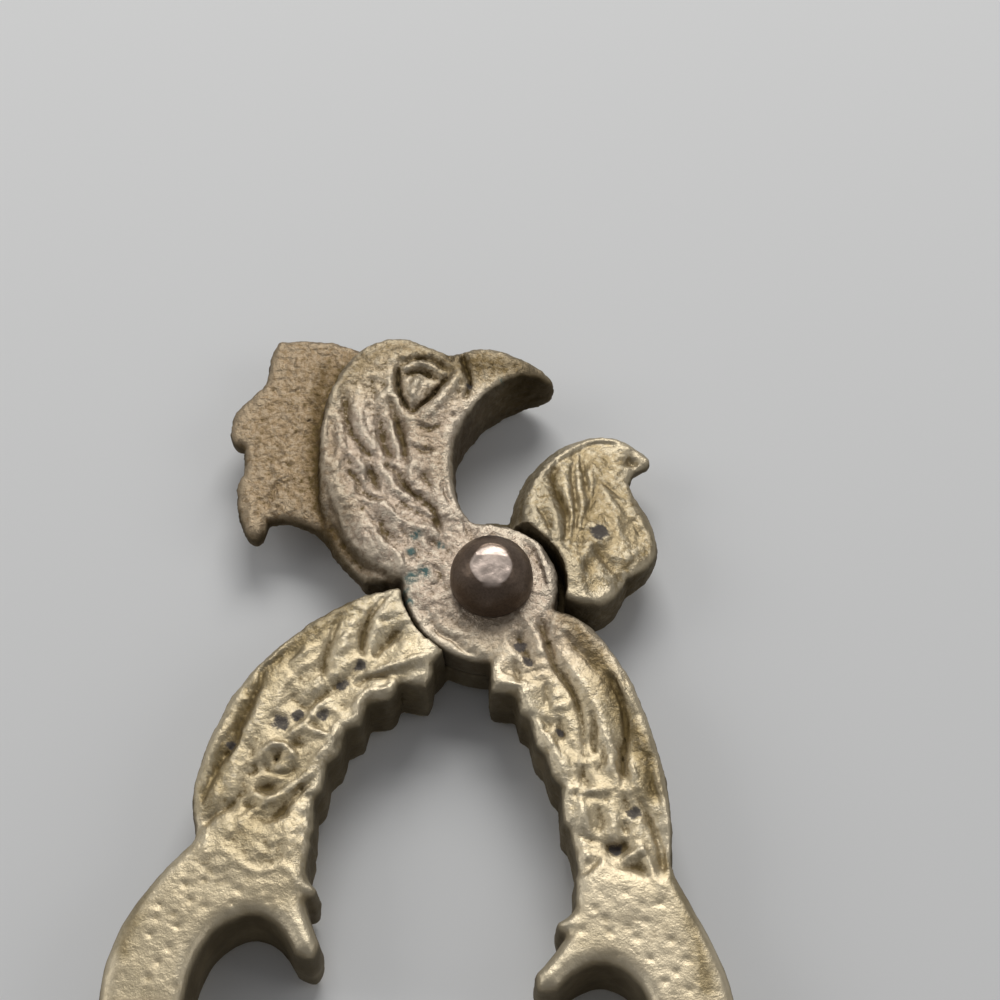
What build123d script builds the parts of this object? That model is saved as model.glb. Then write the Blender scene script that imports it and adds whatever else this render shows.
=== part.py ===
from build123d import *
import math
import os

# Betel nut cutter cast in two crossing levers that turn on one rivet.
# X runs across the handles, +Y from the rivet towards the bird's head, +Z up.
# The origin is on the rivet's axis, on the plane that the cutter lies on.

# ---- driving dimensions, millimetres and degrees ----
MID = 6.5                  # height of the plane that both castings are mirrored about
HEAD_HALF = 5.8            # half thickness of the head, the neck and the lower jaw
HANDLE_HALF = 5.9          # half thickness of the handles
FINIAL_HALF = 6.5          # half thickness of the crescents, which carry the cutter
COMB_HALF = 1.8            # half thickness of the comb behind the head
DISC_HALF = 5.2            # half thickness of the two lapped discs together
LAP_GAP = 0.10             # between the two lapped faces
WALL_GAP = 0.35            # between a disc and the step wall that passes round it

HANDLE_LAP_RADIUS = 13.1   # of both discs, where the handles pass
JAW_LAP_RADIUS = 9.9       # of the upper disc, where the lower jaw passes
JAW_WALL_RADIUS = 11.1     # of the hollow wall of the jaw that faces the upper disc
SPOT_FACE_RADIUS = 7.2     # flat seat cut round the rivet on either side
DISC_CHAMFER = 0.9

SHANK_RADIUS = 3.0
BORE_CLEARANCE = 0.05      # radial, in the lever that turns
DOME_RADIUS = 6.1
DOME_NECK = 1.3            # straight part below the rounded part of the rivet head
FACET_REACH = 5.37         # from the dome's centre to the hammered flat
FACET_TILT = 10.0          # of that flat, towards the handles
WASHER_RADIUS = 5.4
WASHER_THICKNESS = 0.7
TAIL_RADIUS = 4.4          # of the hammered end below the washer

FINIAL_MIRROR_ANGLE = -98.3   # direction, from the rivet, that the two crescents mirror about
EYE_CENTRE = (-11.2, 35.6)
EYE_LONG_RADIUS = 2.7
EYE_SHORT_RADIUS = 1.7
EYE_HEIGHT = 1.1           # of the eyeball above the floor of its socket
EYE_TURN = 20.0
SOCKET_DEPTH = 1.5
GROOVE_DEPTH = 0.8
BEAK_ROUND_START = 2.0     # where the beak's faces begin to fall to its tip, along X
BEAK_ROUND_LENGTH = 7.9    # from there to where the two faces would meet
BEAK_ROUND_Y = 37.5        # middle of the beak there, along Y
JAW_SLOPE_START = 11.5     # distance from the rivet at which the lower jaw begins to thin
JAW_SLOPE_END = 29.5       # and at which it stops
JAW_TIP_HALF = 1.7         # half thickness from there to its hooked tip
SKIRT_CORNER = (-22.6, 6.8)   # middle of the neck's bevelled lower edge
SKIRT_ALONG = (0.555, -0.832)
SKIRT_BEVEL = 40.0         # of that edge, from level
SKIRT_HALF = 3.0           # half thickness at its rim

SHOULDER_HEIGHT = 1.7      # of the bevelled band round each face
WALL_INSET = 0.15          # of a cast wall from the traced outline
FACE_INSET = 1.2           # draft and bevel together, at the face
TIGHT = (0.10, 0.35)       # the same two insets on walls that close against each other
CUTTING = (2.00, 3.10)     # and on the wedge that forms the cutting edge
THIN = (0.10, 0.50)        # and on the comb
CRISP = (0.10, 0.35)       # and on the beak, whose rims are worn sharp

# ---- outlines on the middle plane, anticlockwise; runs meet at corners ----
HEAD_RUNS = [
    [(9.0, 36.5), (9.9, 36.95), (9.0, 37.7)],
    [(9.0, 37.7), (7.2, 38.7), (5.3, 39.7), (3.4, 40.7)],
    [(3.4, 40.7), (1.5, 41.5), (-0.5, 41.9), (-2.6, 41.9), (-4.4, 41.4), (-5.9, 40.6)],
    [(-5.9, 40.6), (-8.6, 41.6), (-12.6, 43.5), (-17.2, 43.4), (-22.4, 39.6), (-25.8, 31.5),
     (-26.5, 20.5), (-25.7, 11.6), (-23.0, 6.2), (-18.9, 1.4)],
    [(-18.9, 1.4), (-13.0, 0.4)],
    [(-13.0, 0.4), (-5.0, -1.0), (0.4, 2.0), (0.4, 10.3)],
    [(0.4, 10.3), (-2.2, 10.5), (-4.2, 12.6), (-5.3, 16.4), (-5.6, 21.0), (-5.1, 25.4),
     (-3.2, 29.4), (-1.0, 32.5)],
    [(-1.0, 32.5), (1.7, 34.7), (4.2, 35.9), (7.2, 36.5), (9.0, 36.5)],
]
NECK_STOP_RUN = 4
BEAK_RUNS = (0, 1, 7)
COMB_RUNS = [
    [(-18.0, 43.0), (-21.5, 44.2), (-28.6, 45.9), (-33.6, 45.4)],
    [(-33.6, 45.4), (-35.0, 41.8), (-35.2, 38.4), (-38.4, 34.0), (-40.2, 30.6), (-40.6, 28.2)],
    [(-40.6, 28.2), (-39.8, 26.7), (-38.0, 25.8)],
    [(-38.0, 25.8), (-38.0, 22.6), (-38.7, 18.5), (-38.2, 13.8), (-36.9, 10.2)],
    [(-36.9, 10.2), (-35.6, 9.3), (-34.3, 10.2)],
    [(-34.3, 10.2), (-33.7, 12.7)],
    [(-33.7, 12.7), (-31.0, 12.9), (-28.0, 11.9), (-23.6, 9.6)],
    [(-23.6, 9.6), (-18.0, 43.0)],
]
RIGHT_HANDLE_RUNS = [
    [(11.4, -50.0), (15.0, -53.0), (21.0, -52.0), (25.1, -46.0)],
    [(25.1, -46.0), (25.4, -38.4), (24.9, -31.6), (23.0, -23.6), (20.2, -15.8), (16.6, -9.6),
     (12.6, -5.6), (9.4, -4.2)],
    [(9.4, -4.2), (4.0, -3.0), (0.0, -8.0), (-0.4, -13.6)],
    [(-0.4, -13.6), (-0.4, -18.3)],
    [(-0.4, -18.3), (3.2, -18.8)],
    [(3.2, -18.8), (3.9, -21.6)],
    [(3.9, -21.6), (5.2, -22.6)],
    [(5.2, -22.6), (6.0, -26.6)],
    [(6.0, -26.6), (7.3, -28.0)],
    [(7.3, -28.0), (8.3, -31.4)],
    [(8.3, -31.4), (9.5, -33.0)],
    [(9.5, -33.0), (9.7, -38.4)],
    [(9.7, -38.4), (10.6, -39.6)],
    [(10.6, -39.6), (11.6, -44.6), (11.4, -50.0)],
]
LEFT_HANDLE_RUNS = [
    [(-13.2, -0.5), (-19.4, -2.3), (-26.2, -6.4), (-32.6, -12.0), (-37.6, -19.0), (-40.8, -27.0),
     (-42.1, -35.0), (-40.4, -42.4)],
    [(-40.4, -42.4), (-36.0, -48.0), (-30.0, -49.5), (-25.6, -47.8)],
    [(-25.6, -47.8), (-25.3, -41.0)],
    [(-25.3, -41.0), (-24.4, -39.6)],
    [(-24.4, -39.6), (-24.5, -34.9)],
    [(-24.5, -34.9), (-23.3, -33.4)],
    [(-23.3, -33.4), (-22.8, -29.6)],
    [(-22.8, -29.6), (-21.2, -28.0)],
    [(-21.2, -28.0), (-20.4, -24.4)],
    [(-20.4, -24.4), (-18.3, -23.5)],
    [(-18.3, -23.5), (-17.3, -20.0)],
    [(-17.3, -20.0), (-14.3, -19.4), (-13.0, -16.8)],
    [(-13.0, -16.8), (-9.2, -17.6)],
    [(-9.2, -17.6), (-8.3, -15.6), (-8.1, -13.7)],
    [(-8.1, -13.7), (-5.0, -8.0), (-7.0, -2.0), (-13.2, -0.5)],
]
JAW_RUNS = [
    [(10.4, -2.8), (12.6, -3.8), (15.4, -3.9), (17.9, -2.5), (19.4, -0.3), (20.2, 1.5)],
    [(20.2, 1.5), (22.6, 3.1), (24.5, 5.8), (24.8, 8.8), (23.4, 13.7), (21.6, 17.2), (20.9, 19.2)],
    [(20.9, 19.2), (22.2, 21.2), (24.6, 22.9)],
    [(24.6, 22.9), (25.2, 23.8), (24.2, 25.0)],
    [(24.2, 25.0), (21.4, 26.9), (18.4, 28.1), (15.0, 28.1), (11.8, 26.9), (8.8, 24.8), (6.2, 21.9),
     (4.2, 18.6), (3.0, 15.0), (2.6, 12.0)],
    [(2.6, 12.0), (2.0, 5.0), (6.0, -1.5), (10.4, -2.8)],
]
HOOK_RUNS = (2, 3)
CUTTING_RUN = 4
# the right handle's crescent; its lower horn goes on along the arcs of the upper one
FINIAL_RUNS = [
    [(25.2, -45.4), (11.6, -47.0)],
    [(11.6, -47.0), (11.2, -51.0), (8.7, -53.0)],
    [(8.7, -53.0), (8.9, -54.3), (9.9, -55.0)],
    [(9.9, -55.0), (8.6, -57.0), (5.8, -60.4)],
    [(5.8, -60.4), (6.2, -63.0), (9.2, -63.1)],
    [(9.2, -63.1), (11.6, -60.8), (15.6, -59.4), (19.8, -62.4), (21.2, -68.6), (20.0, -76.6),
     (17.4, -82.6), (13.6, -86.8)],
    [(13.6, -86.8), (13.8, -90.0), (17.2, -90.6)],
    [(17.2, -90.6), (25.0, -87.4), (30.6, -80.6), (33.2, -72.5), (33.1, -65.0), (31.0, -57.4),
     (27.9, -50.8), (25.2, -45.4)],
]

# ---- grooves between strands of plumage: points along each, and its width in the middle ----
HEAD_GROOVES = [
    ([(-22.2, 36.6), (-23.4, 26.0), (-22.4, 14.0), (-19.0, 4.8)], 1.2),
    ([(-18.0, 33.0), (-18.8, 24.0), (-16.6, 13.0), (-12.8, 6.4)], 1.0),
    ([(-15.2, 28.6), (-15.2, 21.6), (-12.4, 13.6), (-8.6, 9.0)], 1.2),
    ([(-11.8, 24.6), (-11.4, 19.6), (-8.8, 14.2), (-5.6, 11.8)], 1.0),
    ([(-7.0, 39.2), (-5.6, 35.6), (-7.4, 31.0), (-10.6, 27.6)], 1.0),
]
RIGHT_HANDLE_GROOVES = [
    ([(13.4, -9.4), (18.6, -18.0), (21.2, -29.0), (21.8, -43.0)], 1.2),
    ([(9.6, -10.6), (14.4, -19.0), (17.8, -30.0), (18.8, -42.0)], 1.1),
    ([(5.4, -13.0), (9.8, -20.6), (13.4, -31.0), (15.2, -42.6)], 1.1),
]
LEFT_HANDLE_GROOVES = [
    ([(-20.4, -5.4), (-29.8, -12.6), (-36.0, -23.0), (-38.4, -37.0)], 1.2),
    ([(-16.2, -6.4), (-25.4, -14.4), (-31.8, -25.0), (-34.6, -38.4)], 1.1),
    ([(-14.0, -11.0), (-21.4, -18.0), (-27.0, -27.6), (-30.4, -41.0)], 1.1),
]
JAW_GROOVES = [
    ([(17.2, 22.6), (15.6, 17.6), (14.6, 11.0), (14.0, 4.0)], 1.1),
    ([(20.2, 21.8), (18.6, 17.4), (18.0, 11.0), (17.2, 3.4)], 1.1),
    ([(12.8, 21.4), (12.2, 17.0), (12.4, 12.0)], 1.0),
]


def unit(x, y):
    """A vector scaled to length one."""
    length = math.hypot(x, y)
    return x / length, y / length


def inset_runs(runs, distances):
    """The same outline moved inwards by one distance for each run, mitred at the corners."""
    moved = []
    for index, run in enumerate(runs):
        before = runs[index - 1]
        after = runs[(index + 1) % len(runs)]
        at_start = (distances[index - 1] + distances[index]) / 2.0
        at_end = (distances[index] + distances[(index + 1) % len(runs)]) / 2.0
        new_run = []
        for place, (x, y) in enumerate(run):
            is_first = place == 0
            is_last = place == len(run) - 1
            arriving = before[-2] if is_first else run[place - 1]
            leaving = after[1] if is_last else run[place + 1]
            distance = at_start if is_first else at_end if is_last else distances[index]
            ax, ay = unit(x - arriving[0], y - arriving[1])
            bx, by = unit(leaving[0] - x, leaving[1] - y)
            nx, ny = unit(-ay - by, ax + bx)
            stretch = 1.0 / max(0.62, -ay * nx + ax * ny)
            new_run.append((x + nx * distance * stretch, y + ny * distance * stretch))
        moved.append(new_run)
    return moved


def outline_face(runs, height):
    """A flat face whose edge has one spline or line for each run."""
    edges = []
    for run in runs:
        points = [(x, y, height) for x, y in run]
        edges.append(Line(*points) if len(points) == 2 else Spline(*points))
    return make_face(edges)


def casting(runs, half, insets=(WALL_INSET, FACE_INSET), special=None, ridged=False):
    """A solid mirrored about the middle plane, bevelled round each face, ridged at the plane or not."""
    chosen = [(special or {}).get(index, insets) for index in range(len(runs))]
    shoulder = inset_runs(runs, [wall for wall, face in chosen])
    top = inset_runs(runs, [face for wall, face in chosen])
    rise = half - min(SHOULDER_HEIGHT, 0.5 * half)
    faces = [outline_face(top, MID - half), outline_face(shoulder, MID - rise),
             outline_face(shoulder, MID + rise), outline_face(top, MID + half)]
    if ridged:
        faces.insert(2, outline_face(runs, MID))
    return loft(faces, ruled=True)


def sliver(line, width, bottom, top):
    """A prism over a line, widest in its middle and pointed at both ends."""
    left, right = [], []
    for before, here, after in zip(line, line[1:], line[2:]):
        ax, ay = unit(after[0] - before[0], after[1] - before[1])
        left.append((here[0] - ay * width / 2.0, here[1] + ax * width / 2.0, bottom))
        right.append((here[0] + ay * width / 2.0, here[1] - ax * width / 2.0, bottom))
    ends = [(x, y, bottom) for x, y in (line[0], line[-1])]
    around = [ends[0], *right, ends[1], *left[::-1]]
    return extrude(make_face(Polyline(*around, close=True)), amount=top - bottom, dir=(0, 0, 1))


def both_faces(upper):
    """A feature of the upper face, and its mirror image on the lower face."""
    return [upper, mirror(upper, Plane.XY.offset(MID))]


def grooves(lines, half):
    """Shallow cuts along the given lines, on both faces."""
    cuts = []
    for line, width in lines:
        cuts += both_faces(sliver(line, width, MID + half - GROOVE_DEPTH, MID + half + 2.0))
    return cuts


def column(radius, bottom, top):
    """A cylinder on the rivet's axis between two heights."""
    return Pos(0, 0, (bottom + top) / 2.0) * Cylinder(radius, top - bottom)


def sector(start, end, radius, bottom, top):
    """A wedge of a cylinder round the rivet's axis between two directions."""
    reach = radius / math.cos(math.radians((end - start) / 4.0))
    middle = (start + end) / 2.0
    corners = [(0.0, 0.0, bottom)]
    for angle, length in ((start, radius), (middle - (end - start) / 4.0, reach),
                          (middle + (end - start) / 4.0, reach), (end, radius)):
        corners.append((length * math.cos(math.radians(angle)),
                        length * math.sin(math.radians(angle)), bottom))
    return extrude(make_face(Polyline(*corners, close=True)), amount=top - bottom, dir=(0, 0, 1))


def lap_disc(radius, bottom, top, chamfered_top):
    """One of the two lapped discs, chamfered round its outer face."""
    disc = column(radius, bottom, top)
    rims = disc.edges().filter_by(GeomType.CIRCLE).sort_by(Axis.Z)
    return chamfer(rims[-1] if chamfered_top else rims[0], DISC_CHAMFER)


def mirrored_finial_runs():
    """The left crescent: the right one mirrored about the line between the handles."""
    mirrored = []
    for run in reversed(FINIAL_RUNS):
        new_run = []
        for x, y in reversed(run):
            radius = math.hypot(x, y)
            angle = 2.0 * math.radians(FINIAL_MIRROR_ANGLE) - math.atan2(y, x)
            new_run.append((radius * math.cos(angle), radius * math.sin(angle)))
        mirrored.append(new_run)
    return mirrored


def beak_offcut():
    """What is cut away so that the beak thins to its tip, round in side view."""
    length, depth, height = 2.0 * BEAK_ROUND_LENGTH, 25.0, 6.0 * HEAD_HALF
    start = Pos(BEAK_ROUND_START, BEAK_ROUND_Y, MID)
    block = start * Box(length, depth, height, align=(Align.MIN, Align.CENTER, Align.CENTER))
    profile = Ellipse(BEAK_ROUND_LENGTH, HEAD_HALF)
    rounded = extrude(start * Rot(90, 0, 0) * profile, amount=depth, both=True)
    return block - rounded


def skirt_offcut():
    """What is cut away along the neck's lower edge, above its rim."""
    x, y = SKIRT_CORNER
    along_x, along_y = SKIRT_ALONG
    tilt = math.radians(SKIRT_BEVEL)
    normal = (along_y * math.sin(tilt), -along_x * math.sin(tilt), math.cos(tilt))
    bevel = Plane((x, y, MID + SKIRT_HALF), x_dir=(along_x, along_y, 0.0), z_dir=normal)
    return bevel * Box(16.0, 12.0, 8.0, align=(Align.CENTER, Align.CENTER, Align.MIN))


def thinning_cone():
    """The turned form, thick near the rivet and thin far from it, that the lower jaw lies in."""
    reach = 60.0
    ends = [(0.0, HEAD_HALF), (JAW_SLOPE_START, HEAD_HALF), (JAW_SLOPE_END, JAW_TIP_HALF),
            (reach, JAW_TIP_HALF)]
    above = [(radius, 0.0, MID + half) for radius, half in ends]
    below = [(radius, 0.0, MID - half) for radius, half in reversed(ends)]
    return revolve(make_face(Polyline(*above, *below, close=True)), Axis.Z)


def eye():
    """The eyeball: an oval boss standing in its socket, for the upper face."""
    floor = MID + HEAD_HALF - SOCKET_DEPTH
    ball = extrude(Ellipse(EYE_LONG_RADIUS, EYE_SHORT_RADIUS), amount=EYE_HEIGHT)
    return Pos(EYE_CENTRE[0], EYE_CENTRE[1], floor) * Rot(0, 0, EYE_TURN) * ball


def eye_socket():
    """The almond-shaped hollow round the eyeball, for the upper face."""
    x, y = EYE_CENTRE
    lids = [[(x - 3.9, y + 1.8), (x - 0.6, y + 4.0), (x + 3.9, y + 1.4)],
            [(x + 3.9, y + 1.4), (x + 1.2, y - 3.0), (x - 1.2, y - 5.4)],
            [(x - 1.2, y - 5.4), (x - 3.4, y - 2.0), (x - 3.9, y + 1.8)]]
    bottom = MID + HEAD_HALF - SOCKET_DEPTH
    return extrude(outline_face(lids, bottom), amount=4.0, dir=(0, 0, 1))


def bird_head():
    """Crown, beak and neck in one casting, with the thinner comb behind."""
    special = {NECK_STOP_RUN: TIGHT}
    special.update({index: CRISP for index in BEAK_RUNS})
    head = casting(HEAD_RUNS, HEAD_HALF, special=special) - beak_offcut() - both_faces(skirt_offcut())
    comb = casting(COMB_RUNS, COMB_HALF, insets=THIN)
    return head + comb


def upper_disc():
    """The head lever's half of the lap, wide towards the left handle, small towards the jaw."""
    top = MID + DISC_HALF
    bottom = MID + LAP_GAP / 2.0
    wide = lap_disc(HANDLE_LAP_RADIUS, bottom, top, True) & sector(176, 272, 30, bottom - 1, top + 1)
    return lap_disc(JAW_LAP_RADIUS, bottom, top, True) + wide


def make_head_lever(bore_radius):
    """Bird's head, upper disc and right handle with its crescent, as one casting."""
    handle = casting(RIGHT_HANDLE_RUNS, HANDLE_HALF)
    crescent = casting(FINIAL_RUNS, FINIAL_HALF)
    lever = bird_head() + handle + crescent
    lever -= column(HANDLE_LAP_RADIUS + WALL_GAP, -1.0, MID + LAP_GAP / 2.0)
    lever -= column(SPOT_FACE_RADIUS, MID, 30.0)
    lever += upper_disc()
    lever -= column(bore_radius, -1.0, 30.0)
    cuts = grooves(HEAD_GROOVES, HEAD_HALF) + grooves(RIGHT_HANDLE_GROOVES, HANDLE_HALF)
    lever -= cuts + both_faces(eye_socket())
    return lever + both_faces(eye())


def make_jaw_lever(bore_radius):
    """Lower jaw, lower disc and left handle with its crescent, as one casting."""
    lap_top = MID - LAP_GAP / 2.0
    special = {CUTTING_RUN: CUTTING}
    special.update({index: TIGHT for index in HOOK_RUNS})
    jaw = casting(JAW_RUNS, HEAD_HALF, special=special, ridged=True) & thinning_cone()
    jaw -= column(JAW_WALL_RADIUS, lap_top, 30.0)
    handle = casting(LEFT_HANDLE_RUNS, HANDLE_HALF)
    handle += casting(mirrored_finial_runs(), FINIAL_HALF)
    handle -= column(HANDLE_LAP_RADIUS + WALL_GAP, lap_top, 30.0)
    lever = handle + jaw
    lever -= column(SPOT_FACE_RADIUS, -1.0, MID)
    lever += lap_disc(HANDLE_LAP_RADIUS, MID - DISC_HALF, lap_top, False)
    lever -= column(bore_radius, -1.0, 30.0)
    cuts = grooves(LEFT_HANDLE_GROOVES, HANDLE_HALF) + grooves(JAW_GROOVES, HEAD_HALF)
    return lever - cuts


def make_rivet():
    """Shank with a domed head that carries one hammered facet."""
    seat = MID + DISC_HALF
    centre = Pos(0, 0, seat + DOME_NECK)
    dome = centre * Sphere(DOME_RADIUS)
    dome &= column(DOME_RADIUS + 1.0, seat + DOME_NECK, seat + 10.0)
    dome += column(DOME_RADIUS, seat, seat + DOME_NECK)
    facet = centre * Rot(FACET_TILT, 0, 0) * Pos(0, 0, FACET_REACH) * Box(
        20.0, 20.0, 6.0, align=(Align.CENTER, Align.CENTER, Align.MIN))
    washer_bottom = MID - DISC_HALF - LAP_GAP / 2.0 - WASHER_THICKNESS
    tail = column(TAIL_RADIUS, 0.0, washer_bottom)
    return (dome - facet) + column(SHANK_RADIUS, 0.0, seat) + tail


def make_washer():
    """The rove that the rivet's tail is hammered over, below the lower disc."""
    top = MID - DISC_HALF - LAP_GAP / 2.0
    washer = column(WASHER_RADIUS, top - WASHER_THICKNESS, top)
    washer -= column(SHANK_RADIUS, top - WASHER_THICKNESS - 1.0, top + 1.0)
    return washer


def main():
    os.makedirs("parts", exist_ok=True)
    nodes = {
        "head_lever": make_head_lever(SHANK_RADIUS),
        "jaw_lever": make_jaw_lever(SHANK_RADIUS + BORE_CLEARANCE),
        "pivot_rivet": make_rivet(),
        "rivet_rove": make_washer(),
    }
    for name, shape in nodes.items():
        solid = shape.solids()[0] if len(shape.solids()) == 1 else shape
        print(name, "solids", len(shape.solids()), "volume", round(shape.volume))
        export_step(solid, f"parts/{name}.step")


if __name__ == "__main__":
    main()
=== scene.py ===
"""Betel nut cutter: the looks of its two cast levers, its rivet and its rove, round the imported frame.

Lengths are millimetres in the part's own frame until a mesh is made, and metres in Blender.
"""

import math

import bpy
import numpy as np
import openvdb
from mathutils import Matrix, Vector, noise


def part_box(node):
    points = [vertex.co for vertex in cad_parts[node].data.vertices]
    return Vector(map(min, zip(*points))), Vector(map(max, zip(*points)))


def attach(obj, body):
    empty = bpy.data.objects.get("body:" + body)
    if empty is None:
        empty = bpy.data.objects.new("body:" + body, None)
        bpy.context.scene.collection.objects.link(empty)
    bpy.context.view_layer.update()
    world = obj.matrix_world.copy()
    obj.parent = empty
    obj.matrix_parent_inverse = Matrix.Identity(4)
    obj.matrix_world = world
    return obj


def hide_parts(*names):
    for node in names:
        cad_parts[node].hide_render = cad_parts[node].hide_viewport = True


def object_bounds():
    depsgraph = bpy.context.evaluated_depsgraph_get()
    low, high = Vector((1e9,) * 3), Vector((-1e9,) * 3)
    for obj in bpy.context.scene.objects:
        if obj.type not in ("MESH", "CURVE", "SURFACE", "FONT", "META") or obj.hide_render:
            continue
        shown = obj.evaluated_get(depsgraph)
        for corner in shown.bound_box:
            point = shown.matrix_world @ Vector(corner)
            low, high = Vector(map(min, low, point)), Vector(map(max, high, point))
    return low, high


MM = 0.001

# ---- the object's own sizes, as in its source ----
MID = 6.5
HEAD_HALF = 5.8
HANDLE_HALF = 5.9
FINIAL_HALF = 6.4
COMB_HALF = 1.8
DISC_HALF = 5.2
LAP_GAP = 0.16
WALL_GAP = 0.35
HANDLE_LAP_RADIUS = 13.1
JAW_LAP_RADIUS = 9.9
JAW_WALL_RADIUS = 11.1
SHANK_RADIUS = 3.0
DOME_RADIUS = 6.1
DOME_NECK = 1.3
WASHER_RADIUS = 5.4
WASHER_THICKNESS = 0.7
WASHER_TOP = MID - DISC_HALF - 0.05
TAIL_RADIUS = 4.4
RIVET_FLATS = [(-90, 10, 5.37), (-91, 44, 6.00)]   # azimuth and tilt in degrees, then distance
FINIAL_MIRROR_ANGLE = -98.3
BEAK_ROUND_START = 2.0     # where the beak's faces begin to fall to its tip, along X
BEAK_ROUND_LENGTH = 7.9
JAW_SLOPE_START = 11.5     # distance from the rivet at which the lower jaw begins to thin
JAW_SLOPE_END = 29.5
JAW_TIP_HALF = 1.7
SKIRT_CORNER = (-22.6, 6.8)   # middle of the neck's bevelled lower edge
SKIRT_ALONG = (0.555, -0.832)
SKIRT_BEVEL = 40.0
SKIRT_HALF = 3.0

CASTING_PITCH = 0.36       # of the grid that a casting is modelled on
RIVET_PITCH = 0.16

# ---- how the castings are finished ----
DRAFT = 0.06               # lean of a cast wall, for each mm of depth
COMB_DRAFT = 0.12
CUTTING_DRAFT = 0.42       # what the cutting edge adds, which makes a wedge of it
HANDLE_EDGE = 1.6          # rounding of the edges
FINIAL_EDGE = 2.2
THIN_EDGE = 1.3            # of the comb and of the lower jaw
DISC_EDGE = 1.5
FINIAL_FILLET = 1.2
DISC_FILLET = 0.5
SEAT_RAMP = (9.0, 14.0)    # distances from the rivet over which a form rises from the disc
HEAD_STRANDS = 0.45        # height of the strands that run along an outline
HANDLE_STRANDS = 0.34
JAW_STRANDS = 0.22
STRAND_LENGTH = 6.5
WIDE_STRAND = 1.5
NARROW_STRAND = 0.8
PIT_DEPTH = 0.25
PIT_RADIUS = 0.40
SERRATION_DEPTH = 0.3
SERRATION_RADIUS = 0.45
LUMP_SIZE = 3.4            # of the cast skin
GRAIN_SIZE = 1.1
BLOTCH_SIZE = 6.0          # of the patina
SPECK_SIZE = 0.70
DUST_SIZE = 0.25

# ---- how a traced stroke becomes relief ----
STROKE_WIDTH = 0.8         # of its stated half width
STROKE_ENDS = (0.35, 0.65)  # its height at the ends, and what the middle adds
RIDGE_LEAST = 0.75         # least half width of a ridge
GROOVE_CORE = 0.45         # share of a groove's depth in its core and in its flanks
GROOVE_FLANK = 0.60
EVEN_FLANKS = (1.2, 1.2)   # reaches of a groove's flanks to the left and to the right
NARROW_FLANKS = (0.45, 0.45)
OVERLAP = (0.7, 2.4)       # where strands overlap
RELIEF_LIMITS = (-3.6, 0.75)

# ---- where the photograph was taken from: its own frame of 1000 pixels ----
PHOTO_SIZE = 1000
PHOTO_FOCAL = 2500.0       # pixels
CAMERA_ELEVATION = 59.0
CAMERA_DISTANCE = 381.7
CAMERA_TARGET = (1.25, 17.38, 6.0)
SENSOR_WIDTH = 36.0
PIXELS_PER_MM = 6.9


# ---- outlines on the middle plane, anticlockwise; runs meet at corners ----
def joined(runs):
    """Runs of a closed outline, each of which goes on to the first point of the next."""
    return [run + following[:1] for run, following in zip(runs, runs[1:] + runs[:1])]


HEAD_RUNS = joined([
    [(9.0, 36.5), (9.9, 36.95)],
    [(9.0, 37.7), (7.2, 38.7), (5.3, 39.7)],
    [(3.4, 40.7), (1.5, 41.5), (-0.5, 41.9), (-2.6, 41.9), (-4.4, 41.4)],
    [(-5.9, 40.6), (-8.6, 41.6), (-12.6, 43.5), (-17.2, 43.4), (-22.4, 39.6), (-25.8, 31.5),
     (-26.5, 20.5), (-25.7, 11.6), (-23.0, 6.2)],
    [(-18.9, 1.4)],
    [(-13.0, 0.4), (-5.0, -1.0), (0.4, 2.0)],
    [(0.4, 10.3), (-2.2, 10.5), (-4.2, 12.6), (-5.3, 16.4), (-5.6, 21.0), (-5.1, 25.4),
     (-3.2, 29.4)],
    [(-1.0, 32.5), (1.7, 34.7), (4.2, 35.9), (7.2, 36.5)],
])
NAPE_RUN = 3
HOLLOW_RUN = 7
COMB_RUNS = joined([
    [(-18.0, 43.0), (-21.5, 44.2), (-28.6, 45.9)],
    [(-33.6, 45.4), (-35.0, 41.8), (-35.2, 38.4), (-38.4, 34.0), (-40.2, 30.6)],
    [(-40.6, 28.2), (-39.8, 26.7)],
    [(-38.0, 25.8), (-38.0, 22.6), (-38.7, 18.5), (-38.2, 13.8)],
    [(-36.9, 10.2), (-35.6, 9.3)],
    [(-34.3, 10.2)],
    [(-33.7, 12.7), (-31.0, 12.9), (-28.0, 11.9)],
    [(-23.6, 9.6)],
])
RIGHT_HANDLE_RUNS = joined([
    [(11.4, -50.0), (15.0, -53.0), (21.0, -52.0)],
    [(25.1, -46.0), (25.4, -38.4), (24.9, -31.6), (23.0, -23.6), (20.2, -15.8), (16.6, -9.6),
     (12.6, -5.6)],
    [(9.4, -4.2), (4.0, -3.0), (0.0, -8.0)],
    [(-0.4, -13.6)], [(-0.4, -18.3)], [(3.2, -18.8)], [(3.9, -21.6)], [(5.2, -22.6)],
    [(6.0, -26.6)], [(7.3, -28.0)], [(8.3, -31.4)], [(9.5, -33.0)], [(9.7, -38.4)],
    [(10.6, -39.6), (11.6, -44.6)],
])
RIGHT_BACK_RUN = 1
LEFT_HANDLE_RUNS = joined([
    [(-13.2, -0.5), (-19.4, -2.3), (-26.2, -6.4), (-32.6, -12.0), (-37.6, -19.0), (-40.8, -27.0),
     (-42.1, -35.0)],
    [(-40.4, -42.4), (-36.0, -48.0), (-30.0, -49.5)],
    [(-25.6, -47.8)], [(-25.3, -41.0)], [(-24.4, -39.6)], [(-24.5, -34.9)], [(-23.3, -33.4)],
    [(-22.8, -29.6)], [(-21.2, -28.0)], [(-20.4, -24.4)], [(-18.3, -23.5)],
    [(-17.3, -20.0), (-14.3, -19.4)],
    [(-13.0, -16.8)],
    [(-9.2, -17.6), (-8.3, -15.6)],
    [(-8.1, -13.7), (-5.0, -8.0), (-7.0, -2.0)],
])
LEFT_BACK_RUN = 0
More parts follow.
